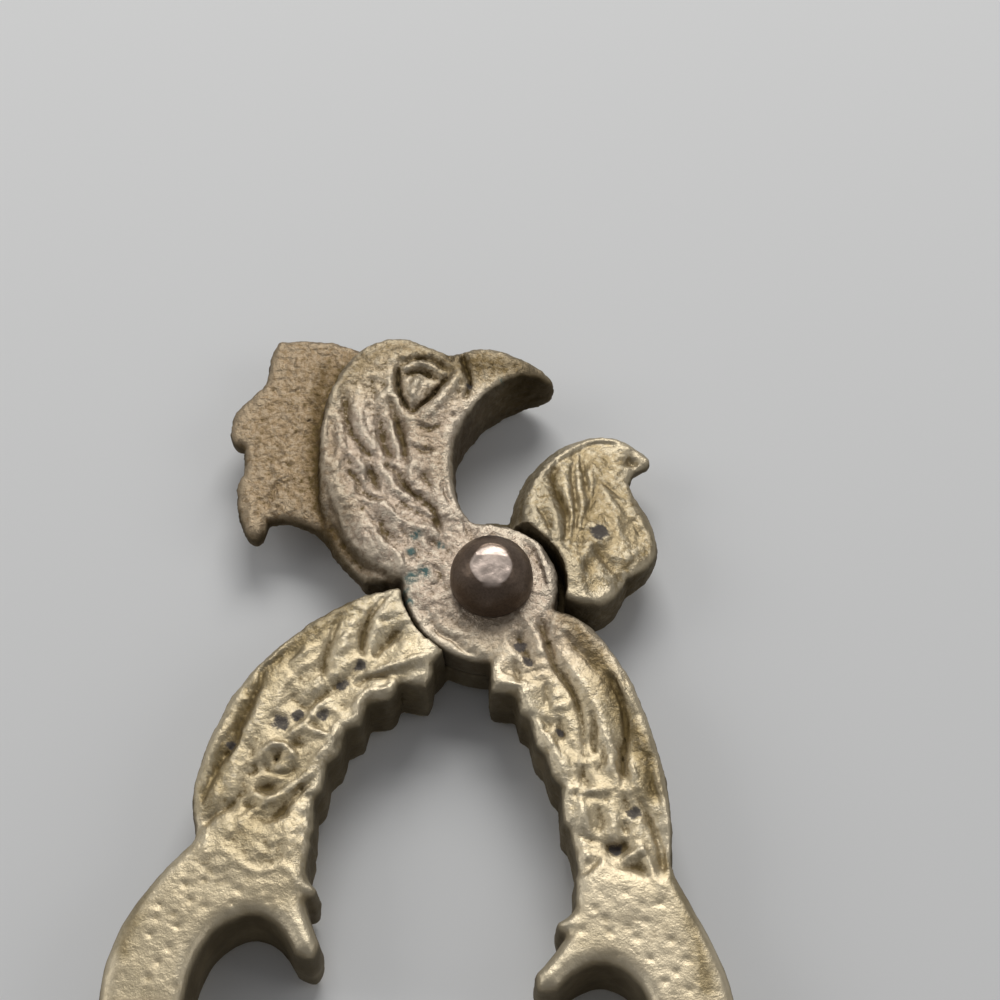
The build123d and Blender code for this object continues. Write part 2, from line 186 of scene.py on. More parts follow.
JAW_RUNS = joined([
    [(10.4, -2.8), (12.6, -3.8), (15.4, -3.9), (17.9, -2.5), (19.4, -0.3)],
    [(20.2, 1.5), (22.6, 3.1), (24.5, 5.8), (24.8, 8.8), (23.4, 13.7), (21.6, 17.2)],
    [(20.9, 19.2), (21.8, 21.2)],
    [(23.6, 22.2), (24.3, 23.4)],
    [(23.4, 25.2), (21.2, 26.9), (18.4, 28.1), (15.0, 28.1), (11.8, 26.9), (8.8, 24.8),
     (6.2, 21.9), (4.2, 18.6), (3.0, 15.0)],
    [(2.6, 12.0), (2.0, 5.0), (6.0, -1.5)],
])
JAW_BACK_RUN = 1
CUTTING_RUN = 4
FINIAL_RUNS = joined([
    [(25.2, -45.4), (20.6, -45.6), (16.0, -44.0)],
    [(11.6, -47.0), (11.2, -51.0)],
    [(8.7, -53.0), (8.9, -54.3)],
    [(9.9, -55.0), (8.6, -57.0)],
    [(5.8, -60.4), (6.2, -63.0)],
    [(9.2, -63.1), (11.6, -60.8), (15.6, -59.4), (19.8, -62.4), (21.2, -68.6), (20.0, -76.6),
     (17.4, -82.6)],
    [(13.6, -86.8), (13.8, -90.0)],
    [(17.2, -90.6), (25.0, -87.4), (30.6, -80.6), (33.2, -72.5), (33.1, -65.0), (31.0, -57.4),
     (27.9, -50.8)],
])

# ---- relief: height in mm, half width in mm, then the line that it follows in the photograph ----
HEAD_RELIEF = [
    (-1.1, 0.6, (344, 394), (347, 410), (349, 425), (356, 437), (364, 448), (380, 459)),
    (-0.5, 0.45, (371, 376), (374, 394), (376, 412)),
    (-1.1, 0.9, (377, 412), (381, 428), (385, 442), (394, 456)),
    (-1.1, 0.6, (391, 398), (394, 412), (400, 428), (404, 442), (406, 462)),
    (0.35, 0.8, (357, 400), (361, 420), (369, 436), (378, 448)),
    (0.35, 0.55, (386, 392), (389, 414), (394, 434), (401, 452)),
    (-1.2, 0.65, (370, 464), (374, 476), (379, 488)),
    (-0.8, 0.5, (346, 467), (355, 475), (362, 486), (371, 496), (386, 498)),
    (0.4, 0.8, (336, 432), (348, 450), (360, 463), (366, 478)),
    (0.4, 0.65, (374, 456), (385, 471), (396, 486), (410, 497)),
    (-1.0, 0.6, (384, 462), (397, 470), (404, 482), (414, 492), (428, 502), (438, 516), (441, 526)),
    (0.4, 1.0, (346, 482), (361, 498), (381, 503), (396, 515), (412, 525), (432, 529), (456, 542)),
    (-0.8, 0.45, (400, 500), (415, 509), (428, 515), (440, 522)),
    (-0.6, 0.5, (360, 503), (368, 515), (380, 528), (386, 542)),
    (-0.5, 0.4, (398, 520), (404, 532), (408, 545)),
    (-1.6, 0.6, (325, 506), (333, 520), (341, 532), (353, 549), (366, 560), (382, 568), (401, 580)),
    (-0.8, 0.45, (322, 526), (332, 544), (346, 562), (362, 581)),
    (-0.6, 0.35, (330, 532), (340, 548), (352, 563), (368, 578)),
    (0.4, 0.9, (338, 516), (348, 532), (360, 546), (376, 556)),
    (-0.6, 0.45, (343, 514), (352, 528), (360, 542)),
    (0.35, 0.6, (370, 572), (380, 574), (392, 580)),
    (-0.9, 0.55, (372, 580), (384, 582), (398, 586)),
    (0.5, 0.6, (402, 584), (404, 592)),
    (-0.7, 0.4, (375, 516), (385, 528), (388, 543), (400, 564)),
    (0.4, 1.4, (360, 520), (374, 540), (392, 556)),
    (-0.7, 0.5, (330, 498), (334, 512), (340, 524)),
]
EYE_RELIEF = [
    # the socket's rim, the crease under the lid, the ball, the lid, and the swelling round them
    (-1.0, 0.32, (400, 366), (408, 360), (421, 357), (435, 360), (448, 370)),
    (-1.5, 0.36, (398, 367), (398, 381), (402, 396), (411, 410)),
    (-1.7, 0.4, (448, 375), (438, 387), (427, 398), (412, 411)),
    (-1.1, 0.3, (404, 374), (415, 370), (428, 373), (439, 380)),
    (0.9, 1.4, (412, 382), (421, 384)),
    (0.7, 0.9, (410, 391), (414, 397)),
    (0.4, 0.5, (405, 367), (417, 364), (431, 366), (443, 374)),
    (0.45, 0.8, (392, 364), (390, 384), (396, 403), (405, 417)),
    (0.75, 1.3, (460, 370), (450, 388), (437, 403), (421, 417)),
    (-1.2, 0.4, (463, 352), (466, 366), (470, 382), (465, 396)),
    (-0.5, 0.4, (449, 354), (452, 362)),
    (-0.5, 0.4, (452, 412), (455, 417)),
    (-0.5, 0.4, (418, 424), (430, 428), (441, 424)),
    (-0.5, 0.4, (412, 444), (424, 450), (438, 448)),
    (-0.5, 0.5, (414, 470), (424, 476), (430, 488)),
    (-0.5, 0.4, (444, 478), (446, 492), (452, 504)),
]
COMB_RELIEF = [
    (-0.3, 0.4, (277, 362), (300, 358), (326, 356)),
    (-0.25, 0.35, (272, 377), (296, 373), (314, 368)),
    (-0.3, 0.4, (262, 394), (285, 388), (310, 386)),
    (-0.35, 0.4, (243, 418), (262, 408), (290, 404)),
    (-0.3, 0.35, (239, 428), (258, 420), (282, 417)),
    (-0.3, 0.4, (250, 445), (270, 440), (296, 436)),
    (-0.25, 0.35, (252, 468), (270, 460), (291, 452)),
    (-0.35, 0.4, (256, 484), (268, 477), (282, 470)),
    (-0.7, 0.5, (267, 514), (269, 497), (277, 486), (285, 489), (292, 500)),
    (-0.6, 1.2, (274, 512), (284, 514), (295, 522)),
    (0.45, 0.6, (274, 504), (276, 506)),
    (0.4, 0.55, (283, 512), (285, 514)),
    (0.4, 1.1, (256, 490), (250, 508), (254, 530)),
    (0.3, 1.2, (305, 498), (314, 516)),
    (0.3, 0.8, (283, 474), (262, 494), (255, 512)),
    (-0.5, 0.8, (320, 378), (317, 400), (315, 430), (318, 470)),
]
DISC_RELIEF = [
    (0.35, 0.8, (409, 590), (413, 614), (425, 634), (445, 649), (470, 657)),
    (-0.7, 0.45, (430, 618), (440, 632), (455, 640), (465, 650), (478, 653)),
    (-0.6, 0.45, (436, 514), (438, 528), (446, 540)),
    (-0.6, 0.45, (463, 520), (469, 530), (476, 540)),
    (-0.5, 0.6, (412, 534), (418, 548), (416, 560)),
    (-0.5, 0.5, (424, 540), (440, 546), (452, 556)),
    (-0.4, 0.6, (430, 566), (440, 574), (438, 590)),
    (-0.35, 0.5, (412, 596), (420, 610), (432, 604)),
    (-0.4, 0.5, (444, 612), (456, 624), (470, 628)),
    (0.3, 0.5, (520, 528), (536, 545), (546, 570), (553, 592)),
    (-0.5, 0.4, (512, 530), (526, 541), (537, 560), (544, 584)),
    (-0.5, 0.4, (528, 552), (532, 556)),
    (0.25, 0.6, (474, 516), (490, 524), (510, 526)),
]
RIGHT_HANDLE_RELIEF = [
    (-1.1, 0.55, (533, 592), (540, 612), (545, 632), (550, 648), (554, 662), (566, 680),
     (574, 694), (580, 712), (584, 736), (586, 756)),
    (0.35, 0.95, (524, 612), (534, 630), (542, 648), (547, 662)),
    (-1.0, 0.65, (507, 622), (518, 634), (524, 646), (528, 656), (533, 667)),
    (0.3, 0.6, (496, 624), (508, 642), (516, 656)),
    (0.4, 0.5, (480, 657), (489, 664), (494, 678), (506, 684), (519, 686), (524, 698), (532, 710)),
    (-0.7, 0.4, (515, 660), (517, 672), (518, 683)),
    (-0.35, 0.8, (504, 668), (508, 673)),
    (-0.45, 0.32, (523, 673), (532, 670), (541, 668)),
    (-0.45, 0.32, (526, 682), (536, 680), (546, 677)),
    (-0.45, 0.32, (546, 690), (556, 688), (564, 686)),
    (-0.45, 0.35, (552, 701), (562, 699), (570, 698)),
    (-0.45, 0.35, (554, 712), (566, 711), (576, 708)),
    (-0.8, 0.4, (546, 682), (547, 695), (548, 708)),
    (-0.9, 0.75, (540, 719), (548, 722), (544, 730)),
    (-1.0, 0.6, (559, 717), (561, 728), (562, 738)),
    (-1.1, 0.45, (592, 712), (594, 726), (593, 742), (597, 752)),
    (-0.8, 0.4, (601, 742), (604, 754), (604, 766)),
    (0.5, 1.5, (562, 654), (572, 668), (586, 685), (595, 702), (602, 722), (608, 746), (611, 770)),
    (-1.2, 0.5, (611, 674), (618, 690), (624, 708), (626, 726), (625, 746), (623, 762), (625, 778)),
    (0.5, 0.35, (611, 668), (622, 686), (630, 699), (637, 710)),
    (-0.6, 0.45, (562, 630), (576, 646), (588, 660), (598, 672)),
    (-0.35, 0.4, (640, 750), (648, 756), (655, 760)),
    (0.4, 1.1, (631, 762), (636, 776), (638, 792)),
    (-0.6, 0.4, (650, 762), (651, 776), (655, 790), (661, 802)),
    (0.5, 0.55, (655, 772), (662, 795), (668, 820), (670, 848), (668, 874)),
    (-1.0, 0.5, (640, 800), (648, 814), (655, 830), (661, 848), (664, 868)),
    (-0.9, 0.9, (624, 796), (632, 810), (641, 814)),
    (0.35, 0.75, (548, 736), (557, 756), (565, 776), (570, 797)),
    (-0.9, 0.75, (582, 764), (584, 777), (591, 784)),
    (-0.5, 0.45, (598, 764), (600, 778)),
    (0.3, 0.5, (578, 790), (592, 791), (611, 786)),
    (-0.5, 0.45, (574, 792), (577, 796)),
    (-0.5, 0.35, (608, 793), (607, 803)),
    (0.45, 1.2, (586, 803), (583, 816), (587, 828)),
    (-0.7, 0.38, (598, 805), (601, 819), (598, 832)),
    (0.35, 1.1, (611, 800), (613, 818), (612, 838)),
    (-1.6, 0.8, (606, 845), (617, 847), (628, 842)),
    (-0.8, 0.45, (624, 820), (628, 834)),
    (-0.6, 0.5, (578, 834), (588, 838), (601, 840)),
    (0.6, 0.7, (587, 855), (589, 857)),
    (0.6, 0.55, (621, 862), (632, 856), (643, 850)),
    (0.4, 0.65, (605, 852), (600, 868), (590, 881)),
    (0.45, 0.6, (641, 846), (648, 862), (655, 880)),
    (-0.9, 0.45, (612, 866), (626, 868), (640, 868), (648, 880), (655, 889)),
    (-0.6, 0.4, (597, 858), (590, 868), (583, 874)),
    (-0.5, 0.4, (568, 742), (574, 752), (570, 760)),
    (-0.5, 0.35, (584, 800), (592, 797), (600, 799)),
]
LEFT_HANDLE_RELIEF = [
    (-1.0, 0.5, (384, 595), (379, 602), (372, 612), (366, 622), (363, 637), (362, 650), (366, 656)),
    (-0.9, 0.5, (342, 613), (337, 620), (333, 632), (328, 646), (324, 660), (324, 673), (328, 683)),
    (-0.9, 0.6, (359, 661), (349, 675), (337, 683), (326, 692), (315, 700), (306, 706)),
    (0.4, 1.2, (352, 630), (341, 648), (333, 666)),
    (0.4, 1.1, (391, 600), (378, 622), (369, 640)),
    (-1.1, 0.85, (402, 628), (393, 635), (384, 643), (373, 656)),
    (0.5, 0.6, (431, 656), (416, 658), (401, 663), (387, 667), (370, 673)),
    (0.25, 0.5, (408, 640), (402, 652), (391, 660)),
    (-0.9, 0.5, (396, 672), (382, 675), (367, 677), (354, 684)),
    (0.45, 0.5, (393, 679), (389, 687), (373, 690), (365, 695), (358, 706), (356, 718), (341, 723)),
    (-0.7, 0.8, (358, 662), (361, 668)),
    (-0.8, 0.75, (344, 680), (334, 687)),
    (-0.4, 1.2, (343, 702), (348, 708)),
    (0.45, 0.5, (329, 695), (315, 711), (303, 725), (292, 734)),
    (-0.8, 0.75, (324, 708), (321, 718)),
    (-0.5, 0.6, (297, 716), (299, 719)),
    (-0.45, 1.1, (276, 724), (285, 718)),
    (-0.6, 0.4, (292, 694), (301, 704), (308, 708)),
    (0.5, 0.4, (307, 728), (320, 733), (333, 738)),
    (0.4, 0.6, (335, 728), (332, 742), (322, 752), (309, 763)),
    (-0.7, 0.4, (291, 740), (299, 744), (306, 742)),
    (0.7, 0.6, (262, 756), (267, 748), (277, 745), (288, 749), (295, 758)),
    (-1.4, 0.55, (275, 756), (278, 758)),
    (-0.8, 0.45, (263, 762), (273, 771), (286, 773), (297, 766)),
    (-1.1, 0.75, (256, 786), (268, 785), (280, 782)),
    (-1.0, 0.65, (300, 784), (302, 788)),
    (-0.8, 0.55, (251, 764), (256, 769), (248, 772)),
    (-1.0, 0.48, (289, 645), (273, 661), (263, 668), (261, 679), (255, 691), (248, 709), (240, 725),
     (236, 741), (221, 758), (215, 771), (207, 786), (201, 800)),
    (0.4, 0.35, (286, 644), (272, 658), (263, 664)),
    (0.35, 1.2, (284, 664), (270, 688), (256, 714), (240, 742), (226, 770), (214, 798)),
    (-1.0, 0.55, (243, 791), (229, 805), (212, 816), (205, 823)),
    (0.5, 0.85, (315, 767), (297, 784), (277, 796), (255, 810), (236, 828), (220, 846)),
    (-1.1, 0.65, (309, 782), (292, 796), (282, 809), (265, 823), (242, 837), (226, 842)),
    (0.45, 0.65, (288, 818), (290, 838), (287, 860)),
    (0.4, 0.8, (303, 809), (305, 812)),
    (0.5, 0.75, (297, 826), (299, 830)),
    (0.4, 0.75, (312, 788), (315, 791)),
    (0.35, 0.4, (238, 797), (258, 796), (276, 799)),
    (-0.5, 0.4, (242, 803), (252, 806), (262, 804)),
    (0.55, 0.8, (256, 846), (262, 855)),
    (0.45, 0.45, (268, 846), (276, 842)),
    (-0.9, 0.5, (243, 850), (250, 862), (262, 866), (276, 862), (284, 850)),
    (-1.2, 0.7, (232, 841), (246, 838)),
    (0.55, 0.7, (200, 861), (211, 853), (224, 852), (236, 861), (248, 869), (264, 872), (281, 867),
     (290, 872), (298, 886)),
    (-0.5, 0.4, (305, 716), (313, 721), (320, 728)),
    (-0.4, 0.35, (246, 745), (252, 752), (248, 758)),
    (-0.3, 0.3, (300, 646), (292, 656), (283, 668)),
    (0.3, 0.4, (322, 626), (310, 640), (303, 655)),
]
RIM_SERRATION = [(247, 686), (246, 694), (244, 702), (242, 710), (239, 718), (236, 727), (214, 764),
                 (208, 774)]
JAW_RELIEF = [
    (0.5, 0.5, (522, 497), (540, 476), (556, 460), (572, 449), (590, 441), (612, 438), (632, 443)),
    (-0.6, 0.4, (549, 470), (560, 460), (574, 453), (582, 447), (600, 443), (618, 445)),
    (-1.0, 0.55, (557, 464), (552, 476), (556, 488), (561, 499), (566, 510), (567, 524), (564, 544)),
    (-0.8, 0.45, (575, 455), (573, 470), (574, 486), (576, 502), (576, 518), (571, 544)),
    (-0.7, 0.42, (583, 450), (582, 465), (586, 480), (588, 496)),
    (-0.6, 0.45, (598, 478), (595, 492), (590, 505), (584, 520), (580, 540), (581, 556)),
    (-0.7, 0.4, (536, 504), (543, 513), (549, 522), (552, 534), (557, 546)),
    (0.25, 0.8, (544, 486), (554, 508), (559, 534)),
    (0.22, 0.8, (564, 468), (567, 488), (571, 514)),
    (0.2, 0.8, (579, 468), (580, 494), (583, 508)),
    (0.18, 0.8, (592, 462), (592, 478), (591, 492)),
    (-1.3, 1.5, (626, 458), (638, 463)),
    (-0.6, 0.45, (602, 482), (612, 488), (622, 498)),
    (0.6, 1.5, (626, 552), (634, 558)),
    (-0.35, 0.35, (630, 550), (634, 560)),
    (-0.7, 1.1, (598, 544), (604, 558), (614, 570)),
    (-0.5, 0.6, (585, 560), (592, 568)),
    (-0.4, 0.4, (632, 518), (637, 528), (643, 538)),
    (0.35, 0.9, (570, 594), (590, 600), (608, 594)),
    (-0.6, 0.5, (617, 574), (625, 580)),
    (0.3, 0.8, (604, 486), (612, 506), (618, 530)),
]
# pits in the castings' smooth ends, as the points where they show
LEFT_PITS = [(160, 905), (156, 918), (178, 927), (174, 914), (190, 900), (205, 880), (206, 868),
             (186, 884), (265, 889), (268, 900), (232, 903), (150, 934), (212, 872), (168, 948),
             (158, 962), (225, 880), (240, 890), (204, 906), (176, 986), (148, 978)]
RIGHT_PITS = [(594, 908), (625, 892), (637, 937), (610, 932), (628, 927), (687, 960), (660, 903),
              (665, 982), (605, 918), (650, 958), (643, 905), (600, 893), (616, 955), (672, 940),
              (646, 922), (582, 930), (690, 990), (676, 972)]
TARNISH = [((360, 665), 8), ((342, 683), 8), ((281, 722), 12), ((323, 714), 8), ((231, 743), 6),
           ((600, 526), 13), ((520, 644), 9), ((528, 660), 8), ((312, 380), 6), ((634, 812), 9),
           ((616, 848), 9), ((560, 730), 6), ((470, 384), 5), ((297, 714), 8)]
VERDIGRIS = [((416, 536), 6), ((440, 545), 5), ((412, 552), 6), ((424, 572), 9), ((411, 578), 8),
             ((410, 601), 5), ((405, 590), 5), ((501, 382), 2)]

# painted shade and painted light along traced lines, with heavier patina in places: share of light, half
# width in mm, then the line
HEAD_SHADES = [
    (0.24, 3.8, (464, 362), (490, 364), (515, 366), (538, 376)),
    (0.5, 3.0, (356, 364), (380, 348), (410, 346), (442, 354)),
    (0.64, 2.4, (340, 372), (330, 400), (326, 440), (334, 480), (346, 510)),
    (0.5, 1.0, (324, 352), (316, 380), (313, 420), (315, 460), (322, 500), (330, 525)),
    (0.75, 3.4, (412, 420), (430, 440), (440, 470)),
    (0.6, 2.2, (334, 532), (352, 558), (380, 578)),
    (0.3, 1.9, (566, 614), (587, 642), (608, 676), (623, 712), (640, 742), (654, 790)),
    (0.5, 1.0, (665, 860), (692, 920), (706, 990)),
    (1.3, 6.0, (600, 900), (640, 930), (660, 980)),
]
JAW_SHADES = [
    (0.72, 2.6, (600, 450), (596, 500), (590, 560)),
    (0.72, 2.0, (548, 480), (560, 530), (572, 580)),
    (0.55, 0.9, (628, 560), (650, 540), (646, 510), (628, 480)),
    (0.42, 1.8, (348, 604), (306, 634), (268, 668), (243, 708), (221, 754), (204, 802)),
    (0.5, 1.2, (186, 830), (150, 880), (122, 950)),
    (0.75, 3.0, (290, 770), (260, 810), (240, 840)),
    (1.12, 6.0, (226, 876), (180, 920), (160, 980)),
]

BROWNING = (0.90, 1.0, 1.28)   # red, green and blue lose light at these powers of the share

# ---- where the patina changes: spans along X or Y in mm ----
COMB_X = (-18.0, -15.0)
COMB_Y = (2.0, 8.0)
CROWN_Y = (26.0, 36.0)
GOLDEN_HANDLE_Y = (-22.0, -2.0)
CRUSTED_HEAD_X = (9.0, 13.0)
CRUSTED_HEAD_Y = (-16.0, -4.0)
CRUSTED_JAW_X = (2.0, 5.0)
CRUSTED_JAW_Y = (-4.0, 0.0)
BROWN_JAW_X = (2.0, 4.0)
BROWN_JAW_Y = (-6.0, -4.0)
WORN_HANDLES_Y = (42.0, 50.0)   # below the rivet

# ---- colours of the worn alloy, as linear red, green and blue ----
GOLD = (0.52, 0.43, 0.28)
ROSE = (0.42, 0.335, 0.255)
TAN = (0.285, 0.205, 0.120)
LOWER_JAW = (0.355, 0.28, 0.165)
OLIVE = (0.150, 0.102, 0.036)
# painted shade: the near-black given to steep walls and to the lapped faces between the levers
PAINTED_WALL_SHADE = (0.030, 0.019, 0.005)
POLISHED = (0.80, 0.72, 0.56)
TARNISH_COLOUR = (0.060, 0.058, 0.066)
VERDIGRIS_COLOUR = (0.115, 0.19, 0.175)
# the rivet's own dark brown, darkened further as a painted reflection of dark surroundings on its dome
RIVET_BROWN_AND_DARK_REFLECTION = (0.165, 0.118, 0.086)
ROVE_BROWN = (0.30, 0.22, 0.13)
# the rubbed facet's colour, brightened as a painted highlight of the light above
RIVET_FACET_AND_HIGHLIGHT = (0.84, 0.69, 0.59)
POLISH = 0.35              # share of the polished colour where the metal is rubbed most
FLOOR_COLOUR = (0.72, 0.72, 0.71)
SKY = (0.95, 0.96, 1.0, 1.0)
SKY_STRENGTH = 0.22

# name, place, size and power of each lamp, in metres and watts
LAMPS = [
    ("key", (0.05, 0.60, 0.60), (0.55, 0.40), 4.2),
    ("left", (-0.60, 0.10, 0.40), (0.40, 0.40), 0.9),
    ("right", (0.60, -0.10, 0.45), (0.40, 0.40), 0.5),
]

# ---- from the photograph to the part's own frame ----
TILT = math.radians(CAMERA_ELEVATION)
EYE = (CAMERA_TARGET[0], CAMERA_TARGET[1] - CAMERA_DISTANCE * math.cos(TILT),
       CAMERA_TARGET[2] + CAMERA_DISTANCE * math.sin(TILT))


def on_face(pixel, height):
    """The place in mm, at a height, that shows at a pixel of the photograph."""
    right = (pixel[0] - PHOTO_SIZE / 2) / PHOTO_FOCAL
    up = (PHOTO_SIZE / 2 - pixel[1]) / PHOTO_FOCAL
    ray_y = up * math.sin(TILT) + math.cos(TILT)
    ray_z = up * math.cos(TILT) - math.sin(TILT)
    reach = (height - EYE[2]) / ray_z
    return EYE[0] + right * reach, EYE[1] + ray_y * reach


def on_plane(half):
    """The mapping from a pixel to a casting's face, half its thickness above the middle plane."""
    return lambda pixel: on_face(pixel, MID + half)


def jaw_half(radius):
    """Half thickness of the lower jaw at a distance from the rivet."""
    share = np.clip((radius - JAW_SLOPE_START) / (JAW_SLOPE_END - JAW_SLOPE_START), 0.0, 1.0)
    return HEAD_HALF + (JAW_TIP_HALF - HEAD_HALF) * share


def on_jaw(pixel):
    """The place in mm on the jaw's sloping face that shows at a pixel, found by closing in on it."""
    x, y = on_face(pixel, MID + HEAD_HALF)
    for _ in range(6):
        x, y = on_face(pixel, MID + float(jaw_half(math.hypot(x, y))))
    return x, y


# ---- plane curves and distances ----
def spline(points, step=0.5):
    """Points along a natural cubic curve through the given ones."""
    knots = np.array(points, float)
    if len(knots) == 2:
        count = max(2, int(np.linalg.norm(knots[1] - knots[0]) / step) + 1)
        return knots[0] + np.linspace(0, 1, count)[:, None] * (knots[1] - knots[0])
    chord = np.linalg.norm(np.diff(knots, axis=0), axis=1)
    place = np.concatenate([[0.0], np.cumsum(chord)])
    size = len(knots)
    matrix = np.eye(size)
    slopes = np.zeros_like(knots)
    for i in range(1, size - 1):
        matrix[i, i - 1:i + 2] = chord[i - 1], 2.0 * (chord[i - 1] + chord[i]), chord[i]
        slopes[i] = 6.0 * ((knots[i + 1] - knots[i]) / chord[i] - (knots[i] - knots[i - 1]) / chord[i - 1])
    bend = np.linalg.solve(matrix, slopes)
    at = np.linspace(0.0, place[-1], max(3, int(place[-1] / step) + 1))
    span = np.clip(np.searchsorted(place, at, side="right") - 1, 0, size - 2)
    gap = chord[span][:, None]
    after = ((at - place[span])[:, None]) / gap
    before = 1.0 - after
    curve = before * knots[span] + after * knots[span + 1]
    curve += gap ** 2 / 6.0 * ((before ** 3 - before) * bend[span] + (after ** 3 - after) * bend[span + 1])
    return curve


def outline(runs):
    """One closed line along all the runs."""
    return np.concatenate([spline(run)[:-1] for run in runs])


def mirrored(runs):
    """The runs of the left crescent: the right one's, mirrored about the line between the handles."""
    def across(x, y):
        angle = 2.0 * math.radians(FINIAL_MIRROR_ANGLE) - math.atan2(y, x)
        return math.hypot(x, y) * math.cos(angle), math.hypot(x, y) * math.sin(angle)
    return [[across(x, y) for x, y in reversed(run)] for run in reversed(runs)]


def ease(value, low, high):
    """0 below low, 1 above high, and an even slope between."""
    share = np.clip((value - low) / (high - low), 0.0, 1.0)
    return share * share * (3.0 - 2.0 * share)


def smooth_min(a, b, reach):
    """The lesser of two fields, rounded where they cross."""
    mix = np.clip(0.5 + 0.5 * (b - a) / reach, 0.0, 1.0)
    return b + (a - b) * mix - reach * mix * (1.0 - mix)


def smooth_max(a, b, reach):
    """The greater of two fields, with a fillet where they cross."""
    return -smooth_min(-a, -b, reach)


class Grid:
    """A block of cells round a casting, with its plane coordinates, and heights above the middle plane."""

    def __init__(self, low, high, pitch):
        self.low = np.array(low, float)
        self.pitch = pitch
        counts = [int(math.ceil((b - a) / pitch)) + 1 for a, b in zip(low, high)]
        x, y, z = [low[i] + pitch * np.arange(counts[i]) for i in range(3)]
        self.x, self.y = np.meshgrid(x, y, indexing="ij")
        self.z = (z - MID)[None, None, :]
        self.radius = np.hypot(self.x, self.y)

    def window(self, line, margin):
        """The part of the plane within a margin of a line."""
        if margin is None:
            return slice(None), slice(None)
        first = ((line.min(axis=0) - margin - self.low[:2]) / self.pitch).astype(int)
        last = ((line.max(axis=0) + margin - self.low[:2]) / self.pitch).astype(int) + 2
        return tuple(slice(max(0, a), max(0, b)) for a, b in zip(first, last))

    def to_line(self, line, margin=None, sided=False):
        """Distance to an open line, negative to its right if sided, and the share of its length there."""
        best = np.full(self.x.shape, 1e6)
        share = np.zeros(self.x.shape)
        side = np.ones(self.x.shape)
        window = self.window(line, margin)
        x, y, near, along, beside = [plane[window] for plane in (self.x, self.y, best, share, side)]
        for i in range(len(line) - 1):
            (ax, ay), (bx, by) = line[i], line[i + 1]
            dx, dy = bx - ax, by - ay
            t = np.clip(((x - ax) * dx + (y - ay) * dy) / (dx * dx + dy * dy), 0.0, 1.0)
            squared = (x - ax - t * dx) ** 2 + (y - ay - t * dy) ** 2
            closer = squared < near
            near[closer] = squared[closer]
            along[closer] = ((i + t) / (len(line) - 1))[closer]
            if sided:
                beside[closer] = np.where((y - ay) * dx > (x - ax) * dy, 1.0, -1.0)[closer]
        return np.sqrt(best) * side, share

    def inside(self, closed):
        """Distance to a closed line, positive inside it."""
        ring = np.concatenate([closed, closed[:1]])
        within = np.zeros(self.x.shape, bool)
        for (ax, ay), (bx, by) in zip(ring[:-1], ring[1:]):
            if ay != by:
                spans = (self.y >= min(ay, by)) & (self.y < max(ay, by))
                within ^= spans & (self.x < ax + (self.y - ay) / (by - ay) * (bx - ax))
        distance = self.to_line(ring)[0]
        return np.where(within, distance, -distance)

    def relief(self, strokes, place, flanks=EVEN_FLANKS):
        """Ridges and grooves along traced lines; place maps a pixel to the plane.

        flanks are the reaches of the slopes to the left and to the right of a groove.
        """
        raised = np.zeros(self.x.shape)
        sunk = np.zeros(self.x.shape)
        for rise, half_width, *pixels in strokes:
            line = spline([place(pixel) for pixel in pixels])
            offset, share = self.to_line(line, 4.0 * half_width + 3.0, sided=True)
            distance = np.abs(offset)
            ends = STROKE_ENDS[0] + STROKE_ENDS[1] * np.sin(np.pi * np.clip(share, 0.0, 1.0)) ** 0.5
            least = RIDGE_LEAST if rise > 0.0 else 0.0
            core = np.exp(-(distance / (STROKE_WIDTH * max(half_width, least))) ** 2)
            if rise > 0.0:
                raised += rise * ends * core
            else:
                flank = np.exp(-distance / np.where(offset > 0.0, *flanks))
                sunk += (rise * ends * (GROOVE_CORE * core + GROOVE_FLANK * flank)) ** 2
        return raised - np.sqrt(sunk)

    def shade(self, strokes, place):
        """How much light is left along traced lines, 1 where there are none: painted shade below 1,
        painted light above, heavier patina in places.
        """
        left = np.ones(self.x.shape)
        for share, half_width, *pixels in strokes:
            line = spline([place(pixel) for pixel in pixels])
            distance = self.to_line(line, 3.0 * half_width)[0]
            left *= 1.0 + (share - 1.0) * np.exp(-(distance / half_width) ** 2)
        return left

    def dots(self, pixels, place, radius):
        """A soft spot of height one at each traced pixel."""
        total = np.zeros(self.x.shape)
        for x, y in map(place, pixels):
            total += np.exp(-((self.x - x) ** 2 + (self.y - y) ** 2) / radius ** 2)
        return total


# ---- cast forms as fields: positive inside, about a millimetre per millimetre near the surface ----
def plate(grid, runs, half, rounding, draft=DRAFT):
    """A casting mirrored about the middle plane. half and draft may vary over the plane."""
    inside = grid.inside(outline(runs))
    depth = np.abs(grid.z)
    wall = inside[:, :, None] - np.broadcast_to(draft, inside.shape)[:, :, None] * depth
    top = np.broadcast_to(half, inside.shape)[:, :, None] - depth
    return smooth_min(wall, top, rounding)


def lattice(across, along, seed):
    """Smooth random values from -1 to 1, one knot for each whole step across and along."""
    table = np.random.default_rng(seed).uniform(-1.0, 1.0, (64, 64))
    i, j = np.floor(across).astype(int), np.floor(along).astype(int)
    a, b = ease(across - i, 0.0, 1.0), ease(along - j, 0.0, 1.0)
    i, j = i % 63, j % 63
    return ((1 - a) * (1 - b) * table[i, j] + a * (1 - b) * table[i + 1, j]
            + (1 - a) * b * table[i, j + 1] + a * b * table[i + 1, j + 1])


